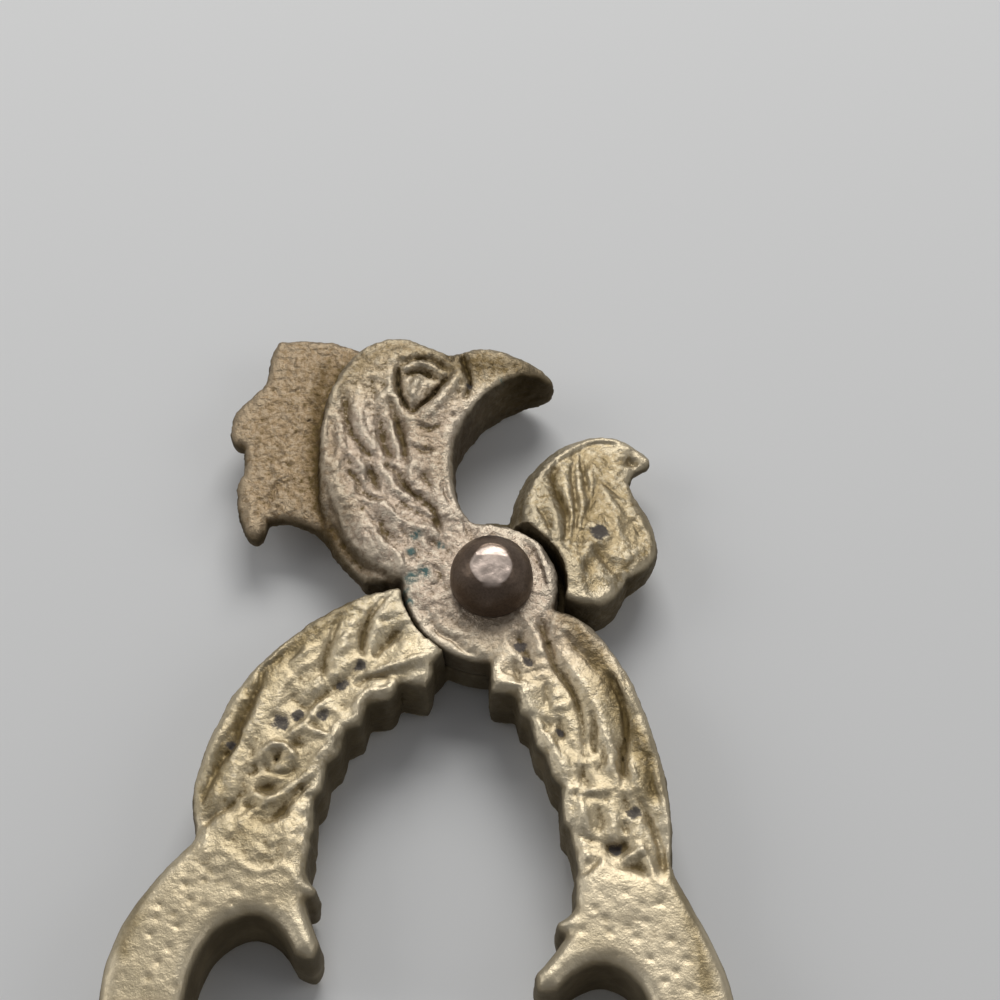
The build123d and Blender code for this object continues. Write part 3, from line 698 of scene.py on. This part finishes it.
def strands(grid, run, seed, height):
    """Long uneven strands that run beside a line, as a relief."""
    line = spline(run)
    distance, share = grid.to_line(line)
    along = share * (0.5 * len(line)) / STRAND_LENGTH
    wide = lattice(distance / WIDE_STRAND + 0.3 * np.sin(2.2 * along), along, seed)
    narrow = lattice(distance / NARROW_STRAND, along * 1.6, seed + 1)
    return height * (0.6 * wide + 0.4 * narrow)


def cast_relief(grid, relief):
    """A relief whose crossing strokes don't dig or pile up too far, with none under the rivet's head."""
    return np.clip(relief, *RELIEF_LIMITS) * ease(grid.radius, SHANK_RADIUS + 2.2, DOME_RADIUS + 0.8)


def seat_blend(grid, half):
    """The half thickness of a form that runs down to the lapped disc near the rivet."""
    return DISC_HALF + (half - DISC_HALF) * ease(grid.radius, *SEAT_RAMP)


def skirt_plane(grid):
    """Distance below the bevel along the neck's lower edge, the same on both faces."""
    tilt = math.radians(SKIRT_BEVEL)
    outward = (grid.x - SKIRT_CORNER[0]) * SKIRT_ALONG[1] - (grid.y - SKIRT_CORNER[1]) * SKIRT_ALONG[0]
    return -outward[:, :, None] * math.sin(tilt) - (np.abs(grid.z) - SKIRT_HALF) * math.cos(tilt)


def beak_fall(grid):
    """How far the beak's faces have fallen on the way to its tip."""
    beyond = np.clip((grid.x - BEAK_ROUND_START) / BEAK_ROUND_LENGTH, 0.0, 1.0)
    beyond *= ease(grid.y, 24.0, 29.0)
    return HEAD_HALF * (1.0 - np.sqrt(1.0 - beyond ** 2))


def finial(grid, runs, pits):
    """A crescent with pitted faces."""
    half = FINIAL_HALF - PIT_DEPTH * grid.dots(pits, on_plane(FINIAL_HALF), PIT_RADIUS)
    return plate(grid, runs, half, FINIAL_EDGE)


def other_half(grid, radius, side):
    """The half of a disc that belongs to the other lever; side is 1 for the head, -1 for the jaw."""
    return np.minimum((radius - grid.radius)[:, :, None], LAP_GAP / 2 - side * grid.z)


def lapped(grid, body, rim, half, side):
    """The body with its half of the lapped disc, room for the other half, and the rivet's hole."""
    height = side * grid.z
    disc = smooth_min(rim[:, :, None] + 0.0 * height, half - height, DISC_EDGE)
    disc = np.minimum(disc, height - LAP_GAP / 2)
    body = smooth_max(body, disc, DISC_FILLET)
    body = np.minimum(body, -other_half(grid, JAW_WALL_RADIUS - 0.3, side))
    return np.minimum(body, (grid.radius - SHANK_RADIUS - 0.1)[:, :, None])


def head_casting(grid):
    on_head = on_plane(HEAD_HALF)
    disc_relief = grid.relief(DISC_RELIEF, on_plane(DISC_HALF))
    relief = grid.relief(HEAD_RELIEF, on_head, OVERLAP) + grid.relief(EYE_RELIEF, on_head, NARROW_FLANKS)
    relief += disc_relief
    relief += strands(grid, HEAD_RUNS[NAPE_RUN], 11, HEAD_STRANDS) * (1.0 - ease(grid.x, -16.0, -6.0))
    relief = cast_relief(grid, relief)
    to_hollow = grid.to_line(spline(HEAD_RUNS[HOLLOW_RUN]))[0]
    rounding = 0.5 + 1.1 * ease(to_hollow, 1.0, 4.0)
    half = seat_blend(grid, HEAD_HALF) + relief - beak_fall(grid)
    head = plate(grid, HEAD_RUNS, half, rounding[:, :, None])
    head = smooth_min(head, skirt_plane(grid) + 0.6 * relief[:, :, None], 1.6)
    half = COMB_HALF + 0.5 * grid.relief(COMB_RELIEF, on_plane(COMB_HALF))
    comb = plate(grid, COMB_RUNS, half, THIN_EDGE, COMB_DRAFT)
    relief = grid.relief(RIGHT_HANDLE_RELIEF, on_plane(HANDLE_HALF))
    relief += disc_relief + strands(grid, RIGHT_HANDLE_RUNS[RIGHT_BACK_RUN], 21, HANDLE_STRANDS)
    half = seat_blend(grid, HANDLE_HALF) + cast_relief(grid, relief)
    handle = plate(grid, RIGHT_HANDLE_RUNS, half, HANDLE_EDGE)
    body = smooth_max(head, comb, 0.9)
    body = smooth_max(body, handle, 1.0)
    body = smooth_max(body, finial(grid, FINIAL_RUNS, RIGHT_PITS), FINIAL_FILLET)
    body = np.minimum(body, -other_half(grid, HANDLE_LAP_RADIUS + WALL_GAP, 1))
    angle = np.degrees(np.arctan2(grid.y, grid.x)) % 360.0
    wide = ease(angle, 172.0, 177.0) * (1.0 - ease(angle, 270.0, 275.0))
    rim = JAW_LAP_RADIUS + (HANDLE_LAP_RADIUS - JAW_LAP_RADIUS) * wide - grid.radius
    half = DISC_HALF + cast_relief(grid, disc_relief)
    return lapped(grid, body, rim, half[:, :, None], 1)


def jaw_casting(grid):
    relief = grid.relief(JAW_RELIEF, on_jaw) + strands(grid, JAW_RUNS[JAW_BACK_RUN], 41, JAW_STRANDS)
    to_edge = grid.to_line(spline(JAW_RUNS[CUTTING_RUN]))[0]
    near_edge = 1.0 - ease(to_edge - np.abs(grid.inside(outline(JAW_RUNS))), 0.0, 1.5)
    half = jaw_half(grid.radius) + np.clip(relief, *RELIEF_LIMITS)
    jaw = plate(grid, JAW_RUNS, half, THIN_EDGE, DRAFT + CUTTING_DRAFT * near_edge)
    jaw = np.minimum(jaw, -other_half(grid, JAW_WALL_RADIUS, -1))
    relief = grid.relief(LEFT_HANDLE_RELIEF, on_plane(HANDLE_HALF))
    relief += strands(grid, LEFT_HANDLE_RUNS[LEFT_BACK_RUN], 31, HANDLE_STRANDS)
    relief = np.clip(relief, *RELIEF_LIMITS)
    relief -= SERRATION_DEPTH * grid.dots(RIM_SERRATION, on_plane(HANDLE_HALF), SERRATION_RADIUS)
    handle = plate(grid, LEFT_HANDLE_RUNS, HANDLE_HALF + relief, HANDLE_EDGE)
    body = smooth_max(handle, finial(grid, mirrored(FINIAL_RUNS), LEFT_PITS), FINIAL_FILLET)
    body = np.minimum(body, -other_half(grid, HANDLE_LAP_RADIUS + WALL_GAP, -1))
    body = np.maximum(body, jaw)
    return lapped(grid, body, HANDLE_LAP_RADIUS - grid.radius, DISC_HALF, -1)


# ---- meshes ----
def blurred(field, cells, passes=2):
    """A box blur of the field along every axis."""
    for _ in range(passes):
        for axis in range(3):
            padded = np.concatenate([np.repeat(field.take([0], axis), cells + 1, axis), field,
                                     np.repeat(field.take([-1], axis), cells, axis)], axis)
            total = np.cumsum(padded, axis=axis, dtype=np.float64)
            count = field.shape[axis]
            upper = total.take(range(2 * cells + 1, 2 * cells + 1 + count), axis)
            lower = total.take(range(count), axis)
            field = ((upper - lower) / (2 * cells + 1)).astype(np.float32)
    return field


def sampled(field, at):
    """The field at fractional cells, from the eight cells round each."""
    limit = np.array(field.shape) - 2
    cell = np.clip(np.floor(at).astype(int), 0, limit)
    part = np.clip(at - cell, 0.0, 1.0)
    total = np.zeros(len(at))
    for corner in range(8):
        step = np.array([(corner >> axis) & 1 for axis in range(3)])
        weight = np.prod(np.where(step, part, 1.0 - part), axis=1)
        index = cell + step
        total += weight * field[index[:, 0], index[:, 1], index[:, 2]]
    return total


def vertex_normals(points, quads):
    """Unit normals, averaged over the faces round each vertex."""
    across = points[quads[:, 2]] - points[quads[:, 0]]
    along = points[quads[:, 3]] - points[quads[:, 1]]
    faces = np.cross(across, along)
    total = np.zeros_like(points)
    for corner in range(4):
        np.add.at(total, quads[:, corner], faces)
    length = np.linalg.norm(total, axis=1, keepdims=True)
    return total / np.maximum(length, 1e-9)


def skin(grid, field):
    """The field's zero surface: points in cells and in mm, outward normals, and four corners per face."""
    volume = openvdb.FloatGrid(10.0)
    volume.copyFromArray(np.ascontiguousarray(-field, dtype=np.float32))
    cells, quads = volume.convertToQuads(isovalue=0.0)
    cells, quads = np.array(cells, float), np.array(quads, int)
    points = grid.low + cells * grid.pitch
    normals = vertex_normals(points, quads)
    first, second, third = [points[quads[:, corner]] for corner in range(3)]
    if np.einsum("ij,ij->i", first, np.cross(second - first, third - first)).sum() < 0:
        quads, normals = quads[:, ::-1], -normals
    return cells, points, normals, quads


def grain(points, scale, octaves, seed):
    """Fractal noise from about -1 to 1 at every point; scale is the size of its largest lumps."""
    shift = Vector((seed * 17.3, seed * 5.1, seed * 9.7))
    return np.array([noise.fractal(Vector(p) / scale + shift, 0.9, 2.1, octaves) for p in points.tolist()])


def make_object(name, points, quads, attributes):
    """A smooth mesh object in metres, with its vertex values, no larger than the object itself."""
    points = np.clip(points, np.array(cad_low) / MM, np.array(cad_high) / MM)
    mesh = bpy.data.meshes.new(name)
    mesh.vertices.add(len(points))
    mesh.vertices.foreach_set("co", (points * MM).astype(np.float32).ravel())
    mesh.loops.add(4 * len(quads))
    mesh.loops.foreach_set("vertex_index", quads.astype(np.int32).ravel())
    mesh.polygons.add(len(quads))
    mesh.polygons.foreach_set("loop_start", (4 * np.arange(len(quads))).astype(np.int32))
    mesh.update(calc_edges=True)
    mesh.validate()
    mesh.shade_smooth()
    for key, values in attributes.items():
        kind, member = ("FLOAT", "value") if values.ndim == 1 else ("FLOAT_COLOR", "color")
        if values.ndim == 2:
            values = np.concatenate([values, np.ones((len(values), 1))], axis=1)
        layer = mesh.attributes.new(key, kind, "POINT")
        layer.data.foreach_set(member, values.astype(np.float32).ravel())
    piece = bpy.data.objects.new(name, mesh)
    bpy.context.scene.collection.objects.link(piece)
    return piece


def spots(points, marks, half):
    """How strongly each point lies in the traced stains, on upward faces."""
    total = np.zeros(len(points))
    for pixel, radius in marks:
        x, y = on_plane(half)(pixel)
        size = radius / PIXELS_PER_MM
        distance = np.hypot(points[:, 0] - x, points[:, 1] - y)
        distance += 0.15 * np.sin(3.1 * points[:, 0] + 2.3 * points[:, 1])
        total = np.maximum(total, 1.0 - ease(distance, 0.45 * size, 1.15 * size))
    return total * ease(points[:, 2], MID + 1.0, MID + 3.0)


def mixed(low, high, share):
    """A colour between two, for every point."""
    return np.array(low) * (1.0 - share[:, None]) + np.array(high) * share[:, None]


def comb_share(points):
    """1 on the comb, 0 on the head that rises beside it."""
    thin = 1.0 - ease(np.abs(points[:, 2] - MID), COMB_HALF + 0.5, COMB_HALF + 1.6)
    return thin * (1.0 - ease(points[:, 0], *COMB_X)) * ease(points[:, 1], *COMB_Y)


def crust_of(points):
    """How crusted the cast skin is: fully on the head, half on the jaw, less on the worn handles."""
    x, y = points[:, 0], points[:, 1]
    north = ease(y, *CRUSTED_HEAD_Y) * (1.0 - ease(x, *CRUSTED_HEAD_X)) + 0.4 * comb_share(points)
    jaw = 0.60 * ease(x, *CRUSTED_JAW_X) * ease(y, *CRUSTED_JAW_Y)
    handles = 0.45 * (1.0 - ease(-y, *WORN_HANDLES_Y))
    return np.maximum(np.maximum(north, jaw), handles)


def head_tone(points):
    """Tan on the comb, rosy brown on the head and disc, golden along the handle and the crown."""
    tone = mixed(ROSE, GOLD, 1.0 - ease(points[:, 1], *GOLDEN_HANDLE_Y))
    comb = comb_share(points)
    tone = tone * (1.0 - comb[:, None]) + np.array(TAN) * comb[:, None]
    crown = 0.5 * (ease(points[:, 1], *CROWN_Y) * (1.0 - comb))[:, None]
    return tone * (1.0 - crown) + np.array(GOLD) * crown


def jaw_tone(points):
    """Golden, browner on the lower jaw."""
    return mixed(GOLD, LOWER_JAW, ease(points[:, 0], *BROWN_JAW_X) * ease(points[:, 1], *BROWN_JAW_Y))


def over_plane(grid, values, points):
    """The value of a plane map at each point."""
    cell = np.rint((points[:, :2] - grid.low[:2]) / grid.pitch).astype(int)
    cell = np.clip(cell, 0, np.array(values.shape) - 1)
    return values[cell[:, 0], cell[:, 1]]


def cast_piece(name, grid, field, tone_of, shade):
    """The mesh of a lever with its cast surface, and the values that its material reads."""
    cells, points, normals, quads = skin(grid, field)
    broad = sampled(blurred(field, 5), cells)
    fine = sampled(blurred(field, 2), cells)
    radius = np.hypot(points[:, 0], points[:, 1])
    facing = np.abs(normals[:, 2])
    # the cast skin leaves the lap's working faces as they are
    loose = ease(np.abs(radius - HANDLE_LAP_RADIUS), 0.4, 1.2) + ease(facing, 0.3, 0.7)
    loose = np.clip(loose, 0.0, 1.0) * ease(radius, 6.4, 8.0)
    on_lap = (np.abs(points[:, 2] - MID) < 0.4) & (radius < HANDLE_LAP_RADIUS + 1.5)
    loose[on_lap] = 0.0
    crusty = crust_of(points)
    lumps = grain(points, LUMP_SIZE, 2, 1)
    rough = grain(points, GRAIN_SIZE, 3, 2)
    amount = (0.08 + 0.08 * crusty) * lumps * (1.3 - 0.6 * facing) + (0.03 + 0.14 * crusty) * rough
    points = points + normals * (loose * amount)[:, None]
    recess = broad * 0.75 + fine * 0.8 + 0.05 - (0.10 + 0.28 * crusty) * rough
    # painted shade and painted light from the traced shade lines, carried into the tone and the polish
    light = over_plane(grid, shade, points)
    return make_object(name, points, quads, {
        "tone": tone_of(points) * light[:, None] ** np.array(BROWNING),
        "recess": np.clip(recess, -1.0, 1.5),
        "crust": crusty,
        "polish": POLISH * np.clip(light, 0.0, 1.0) * (1.0 - 0.6 * comb_share(points)),
        # mask of painted shade: steep walls, and the lapped faces between the levers
        "wall": np.maximum(1.0 - ease(facing, 0.10, 0.85), on_lap),
        "tarnish": spots(points, TARNISH, HANDLE_HALF),
        "verdigris": spots(points, VERDIGRIS, DISC_HALF),
    })


# ---- materials ----
class Nodes:
    """A material's node tree, built one node at a time."""

    def __init__(self, name):
        self.material = bpy.data.materials.new(name)
        self.material.use_nodes = True
        self.tree = self.material.node_tree
        self.shader = self.tree.nodes["Principled BSDF"]

    def put(self, socket, value):
        if isinstance(value, bpy.types.NodeSocket):
            self.tree.links.new(value, socket)
        elif isinstance(value, tuple) and len(value) == 3 and socket.type == "RGBA":
            socket.default_value = (*value, 1.0)
        else:
            socket.default_value = value

    def add(self, kind, settings=None, **inputs):
        node = self.tree.nodes.new(kind)
        for key, value in (settings or {}).items():
            setattr(node, key, value)
        for key, value in inputs.items():
            self.put(node.inputs[key], value)
        return node

    def shade(self, **inputs):
        """Sets inputs of the shader; underscores stand for blanks."""
        for key, value in inputs.items():
            self.put(self.shader.inputs[key.replace("_", " ")], value)

    def attribute(self, name, output="Fac"):
        return self.add("ShaderNodeAttribute", {"attribute_name": name}).outputs[output]

    def place(self):
        return self.add("ShaderNodeTexCoord").outputs["Object"]

    def math(self, operation, *values):
        node = self.add("ShaderNodeMath", {"operation": operation})
        for socket, value in zip(node.inputs, values):
            self.put(socket, value)
        return node.outputs[0]

    def swayed(self, value, speckle, amount):
        """The value, moved up and down by a noise."""
        return self.math("MULTIPLY_ADD", self.math("SUBTRACT", speckle, 0.5), amount, value)

    def ramp(self, value, low, high, start=0.0, end=1.0):
        """Maps low..high to start..end, clamped."""
        node = self.add("ShaderNodeMapRange", {"interpolation_type": "SMOOTHSTEP"})
        for socket, number in zip(node.inputs, (value, low, high, start, end)):
            self.put(socket, number)
        return node.outputs[0]

    def mix(self, share, first, second):
        node = self.add("ShaderNodeMix", {"data_type": "RGBA"})
        for index, value in ((0, share), (6, first), (7, second)):
            self.put(node.inputs[index], value)
        return node.outputs[2]

    def noise(self, place, size_mm, detail=2.0, roughness=0.55):
        return self.add("ShaderNodeTexNoise", Vector=place, Scale=1.0 / (size_mm * MM), Detail=detail,
                        Roughness=roughness).outputs["Fac"]

    def bump(self, height, distance_mm, strength, under=None):
        node = self.add("ShaderNodeBump", Height=height, Distance=distance_mm * MM, Strength=strength)
        if under is not None:
            self.put(node.inputs["Normal"], under)
        return node.outputs["Normal"]


def cast_metal(name):
    """Worn cast brass: rubbed on what stands proud, brown in what lies deep, crusted on the head, with
    painted shade on its steep walls.
    """
    n = Nodes(name)
    place = n.place()
    blotch = n.noise(place, BLOTCH_SIZE, 3.0)
    speck = n.noise(place, SPECK_SIZE, 4.0, 0.66)
    dust = n.noise(place, DUST_SIZE, 3.0, 0.6)
    crust = n.attribute("crust")
    # depth below the surface round about, broken up by the patina's own grain
    spread = n.math("MULTIPLY_ADD", crust, 2.1, 0.35)
    deep = n.swayed(n.attribute("recess"), speck, spread)
    deep = n.swayed(deep, dust, n.math("MULTIPLY_ADD", crust, 0.5, 0.3))
    deep = n.swayed(deep, blotch, 0.6)
    # painted shade: steep walls and lapped faces get a near-black colour and duller metal
    side = n.math("MULTIPLY", n.attribute("wall"), n.ramp(blotch, 0.2, 0.7, 0.80, 0.95))
    dark = n.math("MAXIMUM", n.ramp(deep, 0.08, 0.88), side)
    rubbed = n.math("MULTIPLY", n.ramp(deep, 0.05, -0.45), n.attribute("polish"))
    colour = n.mix(rubbed, n.attribute("tone", "Color"), POLISHED)
    colour = n.mix(n.math("MULTIPLY", dark, 0.9), colour, n.mix(side, OLIVE, PAINTED_WALL_SHADE))
    tarnish = n.ramp(n.swayed(n.attribute("tarnish"), speck, 1.5), 0.36, 0.95, 0.0, 0.8)
    colour = n.mix(tarnish, colour, TARNISH_COLOUR)
    green = n.math("MULTIPLY", n.attribute("verdigris"), n.ramp(speck, 0.36, 0.56, 0.1, 1.0))
    colour = n.mix(green, colour, VERDIGRIS_COLOUR)
    dull = n.math("MAXIMUM", dark, n.math("MAXIMUM", tarnish, green))
    height = n.math("MULTIPLY_ADD", dust, 0.35, speck)
    coarse = n.bump(n.noise(place, 1.8, 3.0), 0.45, n.math("MULTIPLY_ADD", crust, 0.5, 0.25))
    n.shade(Base_Color=colour, Specular_IOR_Level=0.1, Metallic=n.ramp(dull, 0.0, 1.0, 0.85, 0.45),
            Roughness=n.ramp(dull, 0.0, 1.0, 0.41, 0.70),
            Normal=n.bump(height, 0.22, n.math("MULTIPLY_ADD", crust, 0.45, 0.35), coarse))
    return n.material


def hammered_metal(name, base):
    """Dark hammered metal whose flats are rubbed bright and carry a painted highlight."""
    n = Nodes(name)
    place = n.place()
    blotch = n.noise(place, 2.2, 3.0)
    speck = n.noise(place, 0.35, 3.0, 0.65)
    flat = n.math("MULTIPLY", n.attribute("flat"), n.ramp(blotch, 0.3, 0.65, 0.65, 1.0))
    colour = n.mix(n.ramp(speck, 0.35, 0.7, 0.0, 0.5), base, tuple(0.45 * c for c in base))
    n.shade(Base_Color=n.mix(flat, colour, RIVET_FACET_AND_HIGHLIGHT), Metallic=0.8,
            Roughness=n.ramp(blotch, 0.3, 0.7, 0.34, 0.5),
            Normal=n.bump(speck, 0.06, 0.5, n.bump(blotch, 0.3, 0.35)))
    return n.material


# ---- the rivet and its rove ----
def round_grid(radius, low, high):
    reach = radius + 0.8
    return Grid((-reach, -reach, low - 0.8), (reach, reach, high + 0.8), RIVET_PITCH)


def tilted_flat(grid, azimuth, tilt, distance, centre_height):
    """Distance below a hammered flat that faces an azimuth, tilted from level."""
    a, t = math.radians(azimuth), math.radians(tilt)
    along = grid.x * math.cos(a) + grid.y * math.sin(a)
    return distance - along[:, :, None] * math.sin(t) - (grid.z + MID - centre_height) * math.cos(t)


def rivet_piece():
    """The domed head with its hammered flats, the shank, and the hammered tail below the rove."""
    seat = MID + DISC_HALF
    washer_bottom = WASHER_TOP - WASHER_THICKNESS
    grid = round_grid(DOME_RADIUS, 0.0, seat + 6.0)
    centre = seat + DOME_NECK
    height = grid.z + MID
    ball = DOME_RADIUS - np.sqrt(grid.radius[:, :, None] ** 2 + (height - centre) ** 2)
    neck = np.minimum((DOME_RADIUS - grid.radius)[:, :, None], centre - height)
    dome = np.maximum(np.minimum(ball, height - centre + 0.2), neck)
    flats = np.full(dome.shape, 1e3)
    for azimuth, tilt, distance in RIVET_FLATS:
        flats = np.minimum(flats, tilted_flat(grid, azimuth, tilt, distance, centre))
    turn = np.arctan2(grid.y, grid.x)[:, :, None]
    uneven = ease(grid.radius, 0.6, 3.2)[:, :, None]
    flats += uneven * (0.05 * np.sin(3.0 * turn + 0.8) + 0.035 * np.sin(7.0 * turn))
    dome = np.minimum(smooth_min(dome, flats, 0.25), height - seat)
    shank = np.minimum((SHANK_RADIUS - grid.radius)[:, :, None],
                       np.minimum(height - washer_bottom + 0.5, seat + 0.3 - height))
    tail = smooth_min((TAIL_RADIUS - grid.radius)[:, :, None], height, 0.9)
    tail = np.minimum(tail, washer_bottom - height)
    cells, points, normals, quads = skin(grid, np.maximum(np.maximum(dome, shank), tail))
    on_flat = sampled((flats - ball).astype(np.float32), cells)
    showing = ease(np.abs(points[:, 2] - MID), DISC_HALF + 0.1, DISC_HALF + 0.6)
    points = points + normals * (0.07 * showing * grain(points, 2.6, 3, 5))[:, None]
    # the rubbed flat with its painted highlight is kept to the top of the dome
    top = ease(points[:, 2], centre + 4.2, centre + 4.8)
    return make_object("rivet", points, quads, {"flat": (1.0 - ease(on_flat, -0.05, 0.12)) * top})


def rove_piece():
    """The small washer under the rivet's tail, hammered a little out of round."""
    grid = round_grid(WASHER_RADIUS, WASHER_TOP - WASHER_THICKNESS, WASHER_TOP)
    height = grid.z + MID
    level = np.minimum(WASHER_TOP - height, height - WASHER_TOP + WASHER_THICKNESS)
    turn = np.arctan2(grid.y, grid.x)
    wobble = 0.10 * np.sin(3 * turn + 0.7) + 0.06 * np.sin(7 * turn)
    edge = (WASHER_RADIUS - 0.12 + wobble - grid.radius)[:, :, None] + 0.0 * grid.z
    field = smooth_min(edge, level, 0.3)
    field = np.minimum(field, (grid.radius - SHANK_RADIUS - 0.05)[:, :, None])
    _, points, _, quads = skin(grid, field)
    return make_object("rove", points, quads, {"flat": np.zeros(len(points))})


# ---- the set ----
def make_floor():
    bpy.ops.mesh.primitive_plane_add(size=6.0, location=(0.0, 0.0, -0.0002))
    floor = bpy.context.object
    floor.name = "floor"
    n = Nodes("pale_floor")
    n.shade(Base_Color=FLOOR_COLOUR, Roughness=0.9, Specular_IOR_Level=0.1)
    floor.data.materials.append(n.material)


def make_lights():
    """Soft lamps that face the middle of the object, and a plain dim world."""
    for name, place, size, power in LAMPS:
        light = bpy.data.lights.new(name, "AREA")
        light.shape = "RECTANGLE"
        light.size, light.size_y = size
        light.energy = power
        lamp = bpy.data.objects.new(name, light)
        lamp.location = place
        lamp.rotation_euler = (-Vector(place)).to_track_quat("-Z", "Y").to_euler()
        bpy.context.scene.collection.objects.link(lamp)
    world = bpy.data.worlds.new("studio")
    world.use_nodes = True
    background = world.node_tree.nodes["Background"]
    background.inputs["Color"].default_value = SKY
    background.inputs["Strength"].default_value = SKY_STRENGTH
    bpy.context.scene.world = world


def make_camera():
    data = bpy.data.cameras.new("camera")
    data.sensor_width = SENSOR_WIDTH
    data.lens = SENSOR_WIDTH * PHOTO_FOCAL / PHOTO_SIZE
    data.clip_start = 0.01
    camera = bpy.data.objects.new("camera", data)
    camera.location = Vector(EYE) * MM
    camera.rotation_euler = (math.pi / 2 - TILT, 0.0, 0.0)
    bpy.context.scene.collection.objects.link(camera)
    bpy.context.scene.camera = camera
    bpy.context.scene.view_settings.view_transform = "Standard"


def grid_round(node):
    """A grid that holds a node's box, with room for the outermost cells."""
    low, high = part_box(node)
    return Grid([v / MM - 1.0 for v in low], [v / MM + 1.0 for v in high], CASTING_PITCH)


def dress(piece, material, body, node):
    piece.data.materials.append(material)
    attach(piece, body)
    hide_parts(node)


def make_pieces():
    metal = cast_metal("worn_brass")
    grid = grid_round("head_lever")
    shade = grid.shade(HEAD_SHADES, on_plane(HEAD_HALF))
    head = cast_piece("head_lever_cast", grid, head_casting(grid).astype(np.float32), head_tone, shade)
    dress(head, metal, "head", "head_lever")
    grid = grid_round("jaw_lever")
    shade = grid.shade(JAW_SHADES, on_plane(HANDLE_HALF))
    jaw = cast_piece("jaw_lever_cast", grid, jaw_casting(grid).astype(np.float32), jaw_tone, shade)
    dress(jaw, metal, "jaw", "jaw_lever")
    dress(rivet_piece(), hammered_metal("rivet_metal", RIVET_BROWN_AND_DARK_REFLECTION), "head", "pivot_rivet")
    dress(rove_piece(), hammered_metal("rove_metal", ROVE_BROWN), "head", "rivet_rove")


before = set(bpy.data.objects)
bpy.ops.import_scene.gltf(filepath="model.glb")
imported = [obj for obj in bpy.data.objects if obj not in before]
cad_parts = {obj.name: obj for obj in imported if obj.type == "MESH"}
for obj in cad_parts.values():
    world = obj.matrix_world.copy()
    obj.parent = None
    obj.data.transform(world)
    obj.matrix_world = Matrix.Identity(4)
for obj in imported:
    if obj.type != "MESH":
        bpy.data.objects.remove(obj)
cad_low, cad_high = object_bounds()
make_pieces()
make_floor()
make_lights()
make_camera()
